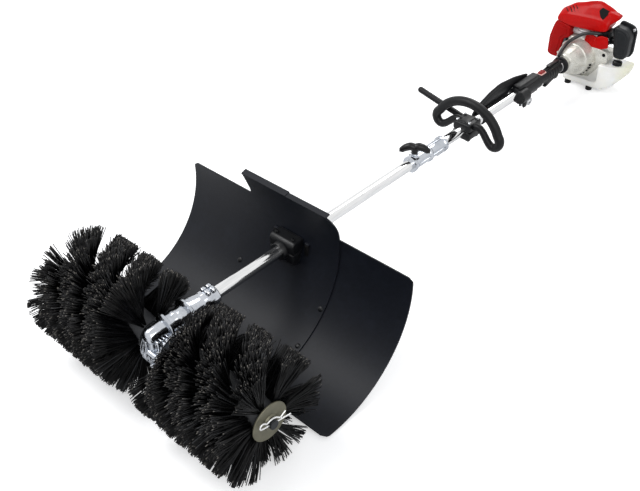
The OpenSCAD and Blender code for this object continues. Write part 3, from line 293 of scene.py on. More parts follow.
def coat(name, dark, light, rough, metal, scale, depth, amount, rub_and_reflection, stretch=(1, 1, 1), sheen=0.5, clear=0.0):
    """Procedural finish: tone between two colours, fine bump, and rubbed places of another colour (painted dark
    reflections on the cast alloy).
    """
    m, t, paint = shader(name, {"Metallic": metal, "Specular IOR Level": sheen, "Coat Weight": clear,
                                "Coat Roughness": 0.12})
    where = node(t, "TexCoord")["Object"]
    form = node(t, "Mapping", {"Vector": where, "Scale": stretch})
    marks = node(t, "Group", {"Vector": form[0], "Scale": scale, "Depth": depth}, node_tree=grain)
    wear_and_reflection = node(t, "Group", {"Vector": where, "Amount": amount}, node_tree=scuff_and_reflection)
    tone = node(t, "Mix", {"Factor": marks["Tone"], "A": colour(dark), "B": colour(light)}, data_type="RGBA")
    rub_and_reflection_tone = node(t, "Mix", {"Factor": wear_and_reflection["Mask"], "A": tone["Result"], "B": colour(rub_and_reflection)}, data_type="RGBA")
    gloss = node(t, "MapRange", {"Value": marks["Fine"], "To Min": rough * 0.8, "To Max": min(1, rough * 1.2)})
    put(t, paint, {"Base Color": rub_and_reflection_tone["Result"], "Roughness": gloss[0], "Normal": marks["Normal"]})
    return m


# Cast alloy: the wide span from grey to near white and the dark rubbed places are painted reflection, standing
# in for the bright and dark bands on a polished casting.
cast = coat("cast_alloy", "9299a3", "e6e9ee", 0.12, 1.0, 260, 0.1, 0.5, "565c66")
steel = coat("zinc_steel", "a9acb0", "dfe0e2", 0.26, 1.0, 1400, 0.1, 0.3, "77797c")
dark_steel = coat("dark_steel", "4a4d52", "74787e", 0.35, 1.0, 1400, 0.1, 0.3, "2a2b2d")
axle_steel = coat("axle_steel", "2b2d2f", "47494c", 0.4, 1.0, 1400, 0.1, 0.3, "1c1d1e")

DROP, CASE_R, LUG_R, COVER_X = -50.0, 46.5, 48.5, 18.6
lugs = [(LUG_R * math.cos(a), LUG_R * math.sin(a) + DROP) for a in np.radians([-155, -90, -25, 20, 160])]


def ribbed(x0, x1, r, rise, ribs, n=60, end_r=6):
    """Profile (radius, x) from x0 to x1 with rounded ends and a rounded rib at each place in ribs."""
    x = np.linspace(x0, x1, n)
    up = np.exp(-(((x[:, None] - np.array(ribs)) / 2.0) ** 4)).max(1) * rise
    end = np.minimum(1, np.sqrt(1 - np.clip(1 - np.minimum(x - x0, x1 - x) / end_r, 0, 1) ** 2))
    rr = (r - end_r + end_r * end) + up * (end > 0.7)
    return [(0, x0)] + list(zip(rr, x)) + [(0, x1)]


wheel_case = [turned(ribbed(-28, 18.4, CASE_R, 3.2, [-24.5, -14.5, -4.5, 5.5]), "x", (0, 0, DROP), 72)]
wheel_case += [turned([(0, 2), (5.5, 2), (7, 4), (7, 18.4), (0, 18.4)], "x", (0, y, z), 24) for y, z in lugs]
z = np.array([17, 14, 8, 0, -12, -26, -40, -55.0])[:, None]
wide = np.array([5, 11, 16, 19, 22.5, 25.5, 27, 27])[:, None]
fore = np.array([-34, -40, -44, -45, -45, -45.5, -46, -45])[:, None]
aft = np.array([0, 2, 4, 6, 14, 26, 36, 40])[:, None]
a = np.linspace(0, 2 * np.pi, 56, endpoint=False)
ca, sa = (np.sign(v) * np.abs(v) ** 0.77 for v in (np.cos(a), np.sin(a)))
bulb = shell(np.stack([wide * ca, (fore + aft) / 2 + (aft - fore) / 2 * sa, z + 0 * a], -1)[::-1])
nose = [(0, -47), (7, -46.8), (12, -45.5), (16, -42), (18.5, -36), (19, -3)]
low_flange = [(28, -1), (30, 0.5), (30, 4.5), (28, 6), (22, 8), (21, 20), (23, 24), (23, 32), (21.5, 36),
              (22, 50)]
high_flange = [(31, 53), (33, 54.5), (33, 59), (32, 60.5), (29, 62), (27.5, 68), (24, 82), (21, 94), (21, 98)]
collar = [(22, 100), (22, 134), (20.5, 136), (14.2, 136)]
COLLAR_Y = (112, 126)
worm_case = [turned(nose + low_flange + high_flange + collar, "y", n=64), bulb,
             block((-17, 8, -62), (17, 50, -6), 7), block((-7, 40, -48), (7, 64, -14), 3)]
worm_case += [block((x, y - 5.5, 12), (x + 9, y + 5.5, 28.5), 2.5) for x in (-10, 1) for y in COLLAR_Y]
fins = [block((x - 1.5, -48 + 0.4 * abs(x), -62), (x + 1.5, -20, -6), 1.3) for x in range(-21, 22, 7)]
fins += [block((14, y - 1.6, -56), (27.5, y + 1.6, 1), 1.4) for y in (-36, -28, -20, -12, 14, 22, 30, 38)]
piece("gear_case", wheel_case + worm_case + fins, cast, "gearbox_housing")
side = [turned([(10.6, COVER_X), (44, COVER_X), (CASE_R, 20.5), (CASE_R, 25), (44, 28), (30, 28), (27, 26),
                (20, 26), (18, 28), (10.6, 28)], "x", (0, 0, DROP), 72)]
side += [turned([(0, COVER_X), (7, COVER_X), (7, 26), (5.8, 27.6), (0, 27.6)], "x", (0, y, z), 24)
         for y, z in lugs]
piece("gear_case_side", side, cast, "gearbox_cover")


def socket_screw(at, axis, head=4.25, high=5):
    """Screw head with a rounded rim and a sunk round socket, standing out along an axis."""
    return turned([(0, 0), (head, 0), (head, high - 0.9), (head - 0.9, high), (2.3, high), (2.3, high - 2.4),
                   (0, high - 2.4)], axis, at, 24)


heads = [socket_screw((28, y, z), "x") for y, z in lugs]
heads += [socket_screw((10, y, 23), "x", 4.4) for y in COLLAR_Y]
piece("gear_case_screws", heads, steel, "gearbox_screws")
repaint(steel, "bearings", "worm_shaft")
repaint(axle_steel, "brush_axle")

# Brush: two drums of stiff black nylon strands, set in tufts on six rows that wind round a core tube.
# Every second tuft is spread like a V, so each row fans out and a narrow groove stays open beside it.
# A zinced disc closes each outer end, and a spring clip through the axle keeps it there.
nylon, tree, fibre = shader("nylon_strands", {"Specular IOR Level": 0.22})
mark = node(tree, "Attribute", attribute_name="strand")
split = node(tree, "SeparateColor", {"Color": mark["Color"]})
# Strand colour: a random near-black tone for each strand. The grey top of the ramp is the core sleeve's own
# colour; the few strands that run towards it are lightened as painted glints.
ramp = node(tree, "ValToRGB", {"Fac": split["Red"]})
stops = ramp["Color"].node.color_ramp.elements
stops[0].color, stops[1].color = colour("020203"), colour("3c3d3f")
stops.new(0.6).color = colour("070708")
stops.new(0.93).color = colour("0f1012")
# Light ends on a random quarter of the strands, read from the Blue of the strand colour: painted glints where
# the cut tips catch the light.
end_part = node(tree, "MapRange", {"Value": split["Green"], "From Min": 0.955})
tip_glint = node(tree, "Math", {0: end_part[0], 1: split["Blue"]}, operation="MULTIPLY")
tips = node(tree, "Mix", {"Factor": tip_glint[0], "A": ramp["Color"], "B": colour("77736d")}, data_type="RGBA")
gloss = node(tree, "MapRange", {"Value": split["Red"], "To Min": 0.28, "To Max": 0.5})
put(tree, fibre, {"Base Color": tips["Result"], "Roughness": gloss[0]})

ROWS, TUFTS, WIND, FAN, RINGS = 6, 27, 165.0, 42.0, 4
ROOT_R, TIP_R, FOOT, OUT_LEAN, TO_EYE = 31, 137.6, 3.4, 15, math.radians(115)


def strands(x0, x1, seed, inner, each=50):
    """Tapered three-sided strands in tufts. A tuft stands at angle = row + wind*t, and a strand runs from
    the core to a tip on the brush circle, moved sideways by its share of the fan and leaning out at the
    ends. At the inner end the lean is largest on the side that faces the camera."""
    rng = np.random.default_rng(seed)
    row, tuft = np.repeat(np.stack(np.mgrid[0:ROWS, 0:TUFTS], -1).reshape(-1, 2), each, 0).T
    count, clump, to_end = len(row), row * TUFTS + tuft, np.sign(x0 + x1)
    t = tuft / (TUFTS - 1)
    own = rng.normal(0, 1, (ROWS * TUFTS, 3))[clump]
    vee = np.sign(rng.random(count) - 0.5) * (0.25 + 0.75 * rng.random(count) ** 0.8)
    one = np.clip(rng.normal(0, 0.36, count), -0.85, 0.85)
    share = np.where(tuft % 2 == 0, vee, one) + 0.07 * own[:, 0]
    a = np.radians(360 / ROWS * row + WIND * (t - 0.5) - 90)
    reach = TIP_R - np.minimum(np.abs(rng.normal(0, 4.6, count)) + 1.6 * np.abs(own[:, 1]), 17)
    tip = FAN * share + rng.normal(0, 5.0, count)
    outer = to_end * (2 * t - 1)
    aside = inner * (1.25 * np.clip(np.cos(a - TO_EYE), 0, 1) - 0.25)
    lean = rng.normal(0, 3.2, count) + 2.2 * own[:, 2] \
        + to_end * np.where(outer > 0, OUT_LEAN, aside) * np.abs(outer) ** 3
    x = x0 + 6 + (x1 - x0 - 12) * t + rng.normal(0, 1.6, count)
    bend = rng.normal(0, 1.8, (count, 2))
    s = np.linspace(0, 1, RINGS)
    out = ROOT_R + (np.sqrt(reach ** 2 - tip ** 2) - ROOT_R)[:, None] * s
    off = (FOOT * share)[:, None] + (tip - FOOT * share)[:, None] * s + bend[:, :1] * np.sin(np.pi * s)
    along = x[:, None] + lean[:, None] * s ** 1.4 + bend[:, 1:] * np.sin(np.pi * s)
    along = np.clip(along, x0 - (9 if to_end < 0 else 11), x1 + (9 if to_end > 0 else 11))
    ca, sa = np.cos(a)[:, None], np.sin(a)[:, None]
    centre = np.stack([along, out * ca - off * sa, out * sa + off * ca + DROP], -1)
    thick = np.linspace(1.4, 1.1, RINGS)
    k = np.arange(3) * 2 * np.pi / 3
    side = np.stack([0 * a, -np.sin(a), np.cos(a)], -1)[:, None, None]
    P = centre[:, :, None] + thick[:, None, None] * (
        np.cos(k)[:, None] * np.array([1.0, 0, 0]) + np.sin(k)[:, None] * side)
    n = RINGS * 3
    i, j = np.mgrid[0:RINGS - 1, 0:3]
    q = np.stack([i * 3 + j, i * 3 + (j + 1) % 3, i * 3 + 3 + (j + 1) % 3, i * 3 + 3 + j], -1).reshape(-1, 4)
    base_at = (np.arange(count) * n)[:, None, None]
    quads = (q + base_at).reshape(-1, 4)
    tris = (np.array([[n - 3, n - 2, n - 1], [2, 1, 0]]) + base_at).reshape(-1, 3)
    shade = np.repeat(rng.random(count), n)
    far = np.tile(np.repeat(s, 3), count)
    # Blue: a random quarter of the strands, whose tips carry painted glints.
    wear_and_reflection = np.repeat(np.clip(rng.random(count) * 4 - 3, 0, 1), n)
    return (P.reshape(-1, 3), quads, tris), np.stack([shade, far, wear_and_reflection, shade * 0 + 1], 1)


END_X, GAP_X = 296, 46
for hand, x0, x1, seed, lean_in in (("left", -END_X, -GAP_X, 5, 34), ("right", GAP_X, END_X, 9, 60)):
    part, marks = strands(x0, x1, seed, lean_in)
    sleeve = bored([(34, x0 + 2), (34, x1 - 2)], [(30.2, x1 - 2), (30.2, x0 + 2)], "x", (0, 0, DROP), 40)
    drum = piece("strands_" + hand, [part, sleeve], nylon, "bristles_" + hand, body="brush",
                 crease=180)
    layer = drum.data.color_attributes.new("strand", "FLOAT_COLOR", "POINT")
    marks = np.vstack([marks, np.tile([1.0, 0.2, 0, 1], (len(sleeve[0]), 1))])
    layer.data.foreach_set("color", marks.ravel())

core_grey = coat("core_tube", "3c3f42", "606468", 0.5, 0.6, 700, 0.2, 0.4, "2b2a28")
repaint(core_grey, "brush_cores")
olive = coat("zinced_disc", "57564a", "85826f", 0.42, 0.7, 500, 0.25, 0.45, "47453b")
disc_face = [(15, 296), (41.5, 296), (43, 297), (43, 299), (41.8, 300), (36, 299.6), (18, 300), (15, 303),
             (12, 303.2)]
disc_bore = [(10.1, 302.6), (10.1, 296)]
discs = [bored(*([(r, s * x) for r, x in side] for side in (disc_face, disc_bore)), "x", (0, 0, DROP), 72)
         for s in (1, -1)]
piece("end_plates", discs, olive, "end_discs", body="brush")


def smoothed(path, steps):
    """Curve through the points: cubic pieces with the slope of the neighbours, and each place on it."""
    p = np.asarray(path, float)
    w = np.linspace(0, len(p) - 1, (len(p) - 1) * steps + 1)
    i = np.minimum(w.astype(int), len(p) - 2)
    f = (w - i)[:, None]
    slope = np.gradient(p, axis=0)
    return (2 * f ** 3 - 3 * f ** 2 + 1) * p[i] + (f ** 3 - 2 * f ** 2 + f) * slope[i] \
        + (3 * f ** 2 - 2 * f ** 3) * p[i + 1] + (f ** 3 - f ** 2) * slope[i + 1], w


def rods(path, radius, n=10, steps=4):
    """Round wire: circle of the radius carried along a smoothed path, square to it and to one fixed axis."""
    p, w = smoothed(path, steps)
    r = np.interp(w, np.arange(len(path)), np.broadcast_to(radius, len(path)))[:, None, None]
    d = np.gradient(p, axis=0)
    d /= np.linalg.norm(d, axis=1)[:, None]
    ref = np.eye(3)[np.argmin(np.abs(d).max(0))]
    a = np.cross(d, ref)
    a /= np.linalg.norm(a, axis=1)[:, None]
    b = np.cross(d, a)
    k = np.linspace(0, 2 * np.pi, n, endpoint=False)
    return shell(p[:, None] + r * (np.cos(k)[:, None] * a[:, None] + np.sin(k)[:, None] * b[:, None]))


CLIP_X, CLIP_TURN = 306, 75.5
clip_path = [(0, -48), (0, -30), (0, -12), (0, 8), (0, 26), (1.6, 31.4), (6, 33.4), (10.6, 31.2), (12, 26),
             (9.8, 20.6), (7.4, 17.4), (8.6, 13.4), (11.6, 8.2), (12.6, 1), (11.8, -7), (8.8, -13),
             (6.2, -17.5), (7.4, -22), (11.5, -26), (16, -31)]
clips = [moved(spun(rods([(s * CLIP_X, y, z) for y, z in clip_path], 1.8, 12), "x", CLIP_TURN), (0, 0, DROP))
         for s in (1, -1)]
bright_wire = coat("spring_wire", "e4e4e2", "ffffff", 0.22, 0.55, 1200, 0.05, 0.1, "c0c0c0")
piece("spring_clips", clips, bright_wire, "r_clips", body="brush")

# Tube in two lengths, drawn steel with a polished chrome face and faint scratches along it. The lower one is
# pinched in the gearbox collar, the upper one in the clutch housing, and both meet in the coupler.
TUBE_R, BORE_R = 14, 12.4
chrome = coat("chrome_tube", "d4d5d6", "fafafa", 0.09, 1.0, 260, 0.03, 0.2, "b8babd", (9, 0.6, 9))
for name, y0, y1, cad_name in (("tube_lower", 92, 862, "lower_tube"), ("tube_upper", 866, 1548, "upper_tube")):
    wall = bored([(TUBE_R, y) for y in np.linspace(y0, y1, 30)], [(BORE_R, y1), (BORE_R, y0)], "y", n=64)
    piece(name, [wall], chrome, cad_name)
repaint(dark_steel, "lower_drive_shaft", "upper_drive_shaft")
bush = coat("shaft_bush", "c9c3ad", "e6e1cd", 0.45, 0, 500, 0.1, 0.3, "8f8a78")
repaint(bush, "tube_bushings")
bronze = coat("gear_bronze", "8a6a3c", "c29a5c", 0.3, 1.0, 800, 0.1, 0.3, "5c4425")
repaint(bronze, "worm_wheel")

# Splash shield: two black moulded wings behind a centre panel, all bent to one curve about a line along X
# and held together by bolts. The centre panel has a turned-back rim along its top, and a split clamp
# holds it on the tube.
# The shield's near-black has a slight blue cast over the whole moulding: a painted bluish reflection.
shield_black = coat("shield_plastic", "0c0e13", "14171f", 0.46, 0, 1500, 0.08, 0.4, "1f232c", sheen=0.2)
black = coat("black_plastic", "08090a", "121316", 0.36, 0, 1300, 0.12, 0.35, "1e2024", sheen=0.26)
# Slots, vents and openings are filled with near-black bodies: painted shade for the dark inside them.
shade_fill = coat("painted_shade_fill", "020203", "060607", 0.7, 0, 600, 0.1, 0.2, "0a0a0b", sheen=0.2)
AXIS_Y, AXIS_Z, FOOT_ANGLE, WING_TOP, RIM_TOP = 143.8, 57.0, -98, 4, 18
PANEL_R, WING_R, BACK_R, WING_X, LAP_X, PANEL_X = 228, 231, 234, 333.5, 120, 140
TOP_CORNER, FOOT_CORNER, RIM_CORNER = 11, 14, 42


def curved_panel(left, right, low, high, r0, r1, n=64, m=40):
    """Bent panel: at angle a its width runs from left(a) to right(a), on radius r1 outside and r0 inside."""
    a = np.linspace(low, high, n)
    u = np.linspace(0, 1, m)
    x = left(a)[:, None] * (1 - u) + right(a)[:, None] * u
    c, s = np.cos(np.radians(a))[:, None], np.sin(np.radians(a))[:, None]
    face = [np.stack([x, AXIS_Y + r * c + 0 * x, AXIS_Z + r * s + 0 * x], -1) for r in (r0, r1)]
    return shell(np.concatenate([face[0], face[1][:, ::-1]], 1))


def corner(a, edge, r, radius):
    """How far a rounded corner of the radius takes in the side, at angle a before the edge angle."""
    d = np.clip(1 - np.radians(np.abs(edge - a)) * r / radius, 0, 1)
    return radius * (1 - np.sqrt(1 - d ** 2))


def flat(x):
    """Side of a panel at a constant x."""
    return lambda a: np.full_like(a, x)


def wing_edge(a):
    """Outer side of a wing with its two rounded corners."""
    return WING_X - corner(a, WING_TOP, BACK_R, TOP_CORNER) - corner(a, FOOT_ANGLE, BACK_R, FOOT_CORNER)


def hook_edge(a):
    """Left side of the centre panel: drawn in under the rim, then out again to a sharp tip at the top."""
    return -PANEL_X + 10 * np.exp(-((a - 6) / 5.0) ** 2) - 6 * np.clip((a - 10) / 8, 0, 1) ** 2


for name, left, right in (("wing_right", flat(LAP_X), wing_edge),
                          ("wing_left", lambda a: -wing_edge(a), flat(-LAP_X))):
    piece(name, [curved_panel(left, right, FOOT_ANGLE, WING_TOP, WING_R, BACK_R)], shield_black,
          "shield_" + name, crease=50)
centre = [curved_panel(hook_edge, lambda a: PANEL_X - corner(a, RIM_TOP, WING_R, RIM_CORNER),
                       FOOT_ANGLE, 17.6, PANEL_R, WING_R),
          curved_panel(flat(-146), flat(-8), 17.2, 18.1, PANEL_R, 243, 6),
          curved_panel(flat(-8), flat(112), 17.2, 17.8, PANEL_R, 241, 6)]
SLOT_X, SLOT_Z = (-47, 49), 2
y = AXIS_Y + math.sqrt(PANEL_R ** 2 - (SLOT_Z - AXIS_Z) ** 2)
for x in SLOT_X:
    centre += [block((x - 6, y - 1.5, SLOT_Z - 21), (x + 6, y + 4, SLOT_Z - 17), 1),
               block((x - 6, y - 1.5, SLOT_Z + 17), (x + 6, y + 8, SLOT_Z + 21), 1)]
piece("shield_middle", centre, shield_black, "shield_centre", crease=50)


def rounded(outline, radius, k=5):
    """Outline with each corner replaced by a short curve that leaves the sides radius away from it."""
    p = np.array(outline, float)
    before, after = np.roll(p, 1, 0) - p, np.roll(p, -1, 0) - p
    lb, la = np.linalg.norm(before, axis=1)[:, None], np.linalg.norm(after, axis=1)[:, None]
    a, b = p + before * np.minimum(radius / lb, 0.48), p + after * np.minimum(radius / la, 0.48)
    t = np.linspace(0, 1, k)[None, :, None]
    return ((1 - t) ** 2 * a[:, None] + 2 * t * (1 - t) * p[:, None] + t ** 2 * b[:, None]).reshape(-1, 2)


def inset(p, by):
    """Closed outline moved inward along its normals."""
    d = np.roll(p, -1, 0) - np.roll(p, 1, 0)
    area = np.sum(p[:, 0] * np.roll(p[:, 1], -1) - p[:, 1] * np.roll(p[:, 0], -1))
    n = np.stack([-d[:, 1], d[:, 0]], 1) / np.maximum(np.linalg.norm(d, axis=1)[:, None], 1e-9) * np.sign(area)
    return p + n * by


def loft(rows, at, axis="y"):
    """Closed skin through flat outlines, each lying across an axis at its own place."""
    rows = np.array(rows)
    t = np.broadcast_to(np.array(at)[:, None], rows.shape[:2])
    u, v = rows[..., 0], rows[..., 1]
    return shell(np.stack({"x": (t, u, v), "y": (u, t, v), "z": (u, v, t)}[axis], -1))


def plate(outline, axis, t0, t1, edge=1.5, radius=3.0, k=4):
    """Slab: a rounded outline carried along an axis, drawn in at both faces by a quarter round."""
    p = rounded(outline, radius)
    q = np.linspace(0, np.pi / 2, k)
    by = np.concatenate([edge * (1 - np.sin(q)), edge * (1 - np.cos(q))])
    at = np.concatenate([t0 + edge * (1 - np.cos(q)), t1 - edge * (1 - np.sin(q))])
    return loft([inset(p, b) for b in by], at, axis)


CLAMP_Y, CLAMP_HALF, BOLT_X = 332.6, 36, 130
clamp_up = plate([(CLAMP_Y, 0.3), (364, 0.3), (369.6, 30), (340, 30), (CLAMP_Y, 24)], "x", -CLAMP_HALF,
                 CLAMP_HALF, 3, 4)
clamp_low = plate([(CLAMP_Y, -0.3), (364, -0.3), (353.5, -32), (340, -32), (CLAMP_Y, -26)], "x", -CLAMP_HALF,
                  CLAMP_HALF, 3, 4)
ring = turned([(14.1, 322), (20, 322), (21.5, 324), (22, 336), (14.1, 336)], "y")
piece("shield_clamp_top", [clamp_up, ring], black, "shield_clamp")
piece("shield_clamp_under", [clamp_low], black, "shield_clamp_cap")
# Near-black blocks in the centre panel's two slots: painted shade.
piece("shield_slots", [block((x - 5, 362, -15), (x + 5, 368.2, 19), 0.5) for x in SLOT_X], shade_fill)
bolts = []
for s in (1, -1):
    at = (s * BOLT_X, 0, 0)
    head = turned([(0, 228.2), (6.2, 228.2), (6.2, 227), (4.5, 225.6), (1.6, 225.2), (0, 225.2)], "y", at, 24)
    nut = peg(4.2, 234, 238, "y", at, 6)
    bolts += [moved(spun(q, "x", a), (0, AXIS_Y, AXIS_Z)) for a in (-40, -64) for q in (head, nut)]
    bolts.append(socket_screw((s * 25, 347.6, 30), "z"))
piece("shield_screws", bolts, black, "shield_bolts")

# Coupler: a bright cast sleeve on the upper tube that takes the lower tube. Pinch lugs are cast underneath,
# a boss on top holds the wing knob's stud, and a sprung pin enters the tube from the left.
KNOB_Y, PIN_Y = 814, 837


def to_left(profile, n):
    """Part turned about a line along X at the pin, pointing to the left."""
    return moved(spun(turned(profile, "x", n=n), "z", 180), (0, PIN_Y, 0))


sleeve = [
    turned([(14.1, 795), (20, 795), (22, 796.5), (22, 804), (20.5, 806), (19, 808), (19, 859), (21, 861),
            (22, 863), (22, 869), (21, 871), (18.4, 874), (18.4, 921), (20.5, 924), (22, 926), (22, 933.5),
            (20, 935), (14.1, 935)], "y", n=64),
    turned([(0, 10), (12, 10), (10, 17), (9, 19), (9, 25), (8.2, 26), (0, 26)], "z", (0, KNOB_Y, 0), 36),
    to_left([(0, 10), (9.5, 10), (7.5, 17), (7, 25), (6, 26), (0, 26)], 32)]
sleeve += [block((x0, y, -24), (x1, y + 26, -8), 2) for y in (799, 905) for x0, x1 in ((-8, -0.8), (0.8, 8))]
sleeve += [block((-2.5, 806, 16), (2.5, 930, 21), 1.5), block((16, 812, -3), (21, 926, 3), 1.5),
           block((-21, 850, -3), (-16, 926, 3), 1.5)]
piece("coupler_sleeve", sleeve, cast, "coupler_body")
hexes = [turned([(0, -28), (4.6, -28), (5, -27.4), (5, -24), (0, -24)], "z", (0, y, 0), 6) for y in (812, 918)]
piece("coupler_hex_bolts", hexes, steel, "coupler_bolts", crease=20)
pin_cap = to_left([(0, 26.6), (5.4, 26.6), (6, 27.4), (6, 31), (5.2, 32), (2.6, 32.2), (0, 32.2)], 28)
pin_rod = to_left([(0, 12.6), (2.4, 12.6), (2.4, 27), (0, 27)], 20)
piece("pin_with_cap", [pin_cap, pin_rod], steel, "lock_pin", body="pin")

# Wing knob: a black moulded bar with drooped ends on a hub, over a threaded stud.
# It screws into the boss of the coupler and tightens it on the lower tube.
knob_black = coat("knob_plastic", "09090a", "161719", 0.32, 0, 1100, 0.1, 0.3, "242528", sheen=0.28)
WING_HALF, WING_Z, KNOB_TURN = 39, 46.5, 35
arc = np.linspace(-1, 1, 17)
droop = 18 * np.abs(arc) ** 2.4 + 5 * np.exp(-(arc / 0.15) ** 2)
fat = 10.4 - 4.6 * np.abs(arc) ** 3
fat[[0, -1]] = 0.5
knob_parts = [rods(np.stack([WING_HALF * arc, 0 * arc, WING_Z - droop], -1), fat, 18, 5),
              turned([(0, 26.6), (8.2, 26.6), (8.6, 28), (9.5, 40), (8, 44), (0, 45)], "z", n=32),
              peg(2.9, 15.2, 27, "z")]
piece("wing_knob", [moved(spun(q, "z", KNOB_TURN), (0, KNOB_Y, 0)) for q in knob_parts], knob_black,
      "coupler_knob", body="knob")

# Loop handle: a tube bent to a closed arch, covered in black rubber and clamped across the upper tube
# with four screws. A straight barrier bar stands out to the left of the same clamp.
rubber = coat("loop_rubber", "070708", "131417", 0.44, 0, 1700, 0.15, 0.3, "202125", sheen=0.24)
LOOP_Y, LOOP_R, LOOP_DROP, LOW = 1040, 105, 28, 27
foot = np.array([(15, 14), (34, 18), (48, 10), (62, -5), (74, -16), (85, -20), (96, -15.5), (102.5, -4),
                 (101, 9)])
angles = np.radians(np.linspace(LOW, 180 - LOW, 21))
arch = np.stack([LOOP_R * np.cos(angles), LOOP_R * np.sin(angles) - LOOP_DROP], -1)
line = np.vstack([foot, arch, foot[::-1] * (-1, 1)])
near = np.minimum(np.arange(len(line)), np.arange(len(line))[::-1])
fat = np.interp(near, [0, 3, 8], [9.5, 10, 13])
loop = rods(np.stack([line[:, 0], np.full(len(line), LOOP_Y), line[:, 1]], -1), fat, 28, 5)
piece("loop_tube", [moved(spun(loop, "y", 4), (6, 0, 0))], rubber, "loop_handle")
four = [(x, y) for x in (-19, 19) for y in (1027, 1063)]
half_up = [block((-27, 1017, 0.3), (27, 1073, 24), 5), block((-14, 1021, 17), (14, 1069, 26.5), 4)]
half_up += [block((x - 6.6, y - 6.6, 17), (x + 6.6, y + 6.6, 24.4), 3) for x, y in four]
half_low = [block((-27, 1017, -24), (27, 1073, -0.3), 5)]
half_low += [block((x - 6, y - 6, -27), (x + 6, y + 6, -16), 2.5) for x, y in four]
piece("loop_clamp_top", half_up, black, "handle_clamp")
piece("loop_clamp_under", half_low, black, "handle_clamp_cap")
piece("loop_screws", [socket_screw((x, y, 24), "z") for x, y in four], steel, "handle_bolts")
along = np.concatenate([np.linspace(0, 152, 12), [156, 158.6, 160, 160.5]])
fat = np.concatenate([np.full(12, 8.5), [7.6, 5.6, 3.2, 0.6]])
bar = rods(np.stack([-along, 0 * along, 0 * along], -1), fat, 24, 2)
piece("side_bar", [moved(spun(bar, "y", 13), (-23, 1062, 13))], rubber, "barrier_bar")

# Hip pad: a black moulded leaf with a raised middle that stands on edge beside the tube.
# A band at its front end goes round the tube, and its rear end lies against the harness clamp.
leaf = [(1095, 2), (1145, -8), (1269, -8), (1276, 12), (1350, 14), (1372, 22), (1372, 30), (1300, 46),
        (1226, 54), (1178, 47), (1133, 33), (1099, 16)]
raised = [(1140, 2), (1256, 2), (1270, 20), (1296, 29), (1228, 43), (1182, 37), (1140, 22)]
pad = [plate(leaf, "x", -21, -16, 2.2, 14),
       bored([(18, 1107), (18, 1125)], [(14.05, 1125), (14.05, 1107)], "y"),
       plate(raised, "x", -22.6, -15.2, 1.5, 10)]
piece("pad_leaf", pad, rubber, "hip_pad")

# Harness clamp: a black moulded sleeve round the tube with a round buffer on its right side. A steel eye
# for the harness hook hangs on a pin between two cheeks underneath.
EYE_AT, EYE_TURN, BUFFER_AT = (18, 1304, -30), 80, (15, 0, -2.5)
bosses = [
    turned([(14.1, 1281), (19.5, 1281), (21, 1283), (21, 1401), (19.5, 1403), (14.1, 1403)], "y"),
    block((-13, 1285, 2), (13, 1392, 29), 5), block((-13, 1336, -24), (13, 1392, 10), 5),
    turned([(0, 1281.4), (14.5, 1281.4), (15.5, 1280), (18.5, 1280), (20, 1281.6), (20, 1315), (18.5, 1317),
            (0, 1317)], "y", BUFFER_AT),
    block((9, 1296, -38), (15, 1312, -10), 2.5), block((21, 1296, -38), (27, 1312, -12), 2.5)]
piece("harness_sleeve", bosses, black, "harness_clamp")
eye_parts = [
    bored([(12, -1.6), (11, -2.5), (7, -2.5)], [(6, -1.6), (6, 1.6), (7, 2.5), (11, 2.5), (12, 1.6)], "x",
          (0, 0, -36), 40),
    block((-2.5, -6, -26), (2.5, 6, 2), 1.2),
    turned([(0, -2.5), (6.4, -2.5), (7, -2), (7, 2), (6.4, 2.5), (0, 2.5)], "x", n=32),
    turned([(0, -9), (2.6, -9), (3, -8.6), (3, 8.6), (2.6, 9), (0, 9)], "x", n=24)]
piece("hook_eye", [moved(spun(q, "x", EYE_TURN), EYE_AT) for q in eye_parts], steel, "harness_eye",
      body="eye")

# Rear grip: black rubber-skinned moulding round the upper tube, ribbed where the hand holds it. The throttle
# trigger hangs in a slot below, its lockout lever in a slot on top, and a red stop switch slides at the front.
grip_black = coat("grip_rubber", "08080a", "141518", 0.44, 0, 1900, 0.25, 0.3, "222328", sheen=0.26)
GRIP_R, GROOVE_R, GROOVE_HALF, GROOVE_Y, GROOVE_LONG = 17.2, 15.2, 6.4, 1482, 36
y = np.linspace(1405, 1518, 140)
ripple = np.sin(y / 2.2)
wave = GRIP_R + 0.5 * np.sign(ripple) * np.clip(np.abs(ripple) * 2, 0, 1) * ((y > 1442) & (y < 1500))
V, quads, tris = bored([(15.5, 1405)] + list(zip(wave, y)) + [(17, 1520)], [(14.1, 1520), (14.1, 1405)], "y",
                       n=48)
far = np.hypot(V[:, 0], V[:, 2])
groove = (np.abs(V[:, 0]) < GROOVE_HALF) & (np.abs(V[:, 1] - GROOVE_Y) < GROOVE_LONG) & (far > GROOVE_R)
V[groove] *= np.stack([GROOVE_R / far, far * 0 + 1, GROOVE_R / far], -1)[groove]
hold = [(V, quads, tris),
        bored([(17, 1531), (24, 1531.4), (26, 1533), (26, 1538), (24.5, 1540)], [(14.1, 1540), (14.1, 1531)],
              "y", n=48)]
low = [(1429, -8), (1433, -18), (1441, -23), (1486, -24.5), (1497, -28), (1509, -28), (1514, -22), (1516, -8)]
top = [(1441, 6), (1446, 16), (1470, 20), (1499, 21.5), (1507, 26), (1519, 26), (1526, 18), (1529, 6)]
hold += [plate(q, "x", *sorted((s * 5.6, s * 9.6)), 1.6, 5) for s in (-1, 1) for q in (low, top)]
hold += [block((-7, 1431, -20), (7, 1437, -6), 2), block((-7, 1511.5, -21), (7, 1515, -6), 1.5),
         block((-7, 1441.5, 4), (7, 1446, 15), 1.8), block((-7, 1523, 4), (7, 1528, 20), 1.8),
         block((-10, 1405, 4), (10, 1440, 16.6), 3)]
piece("grip_body", hold, grip_black, "rear_grip")
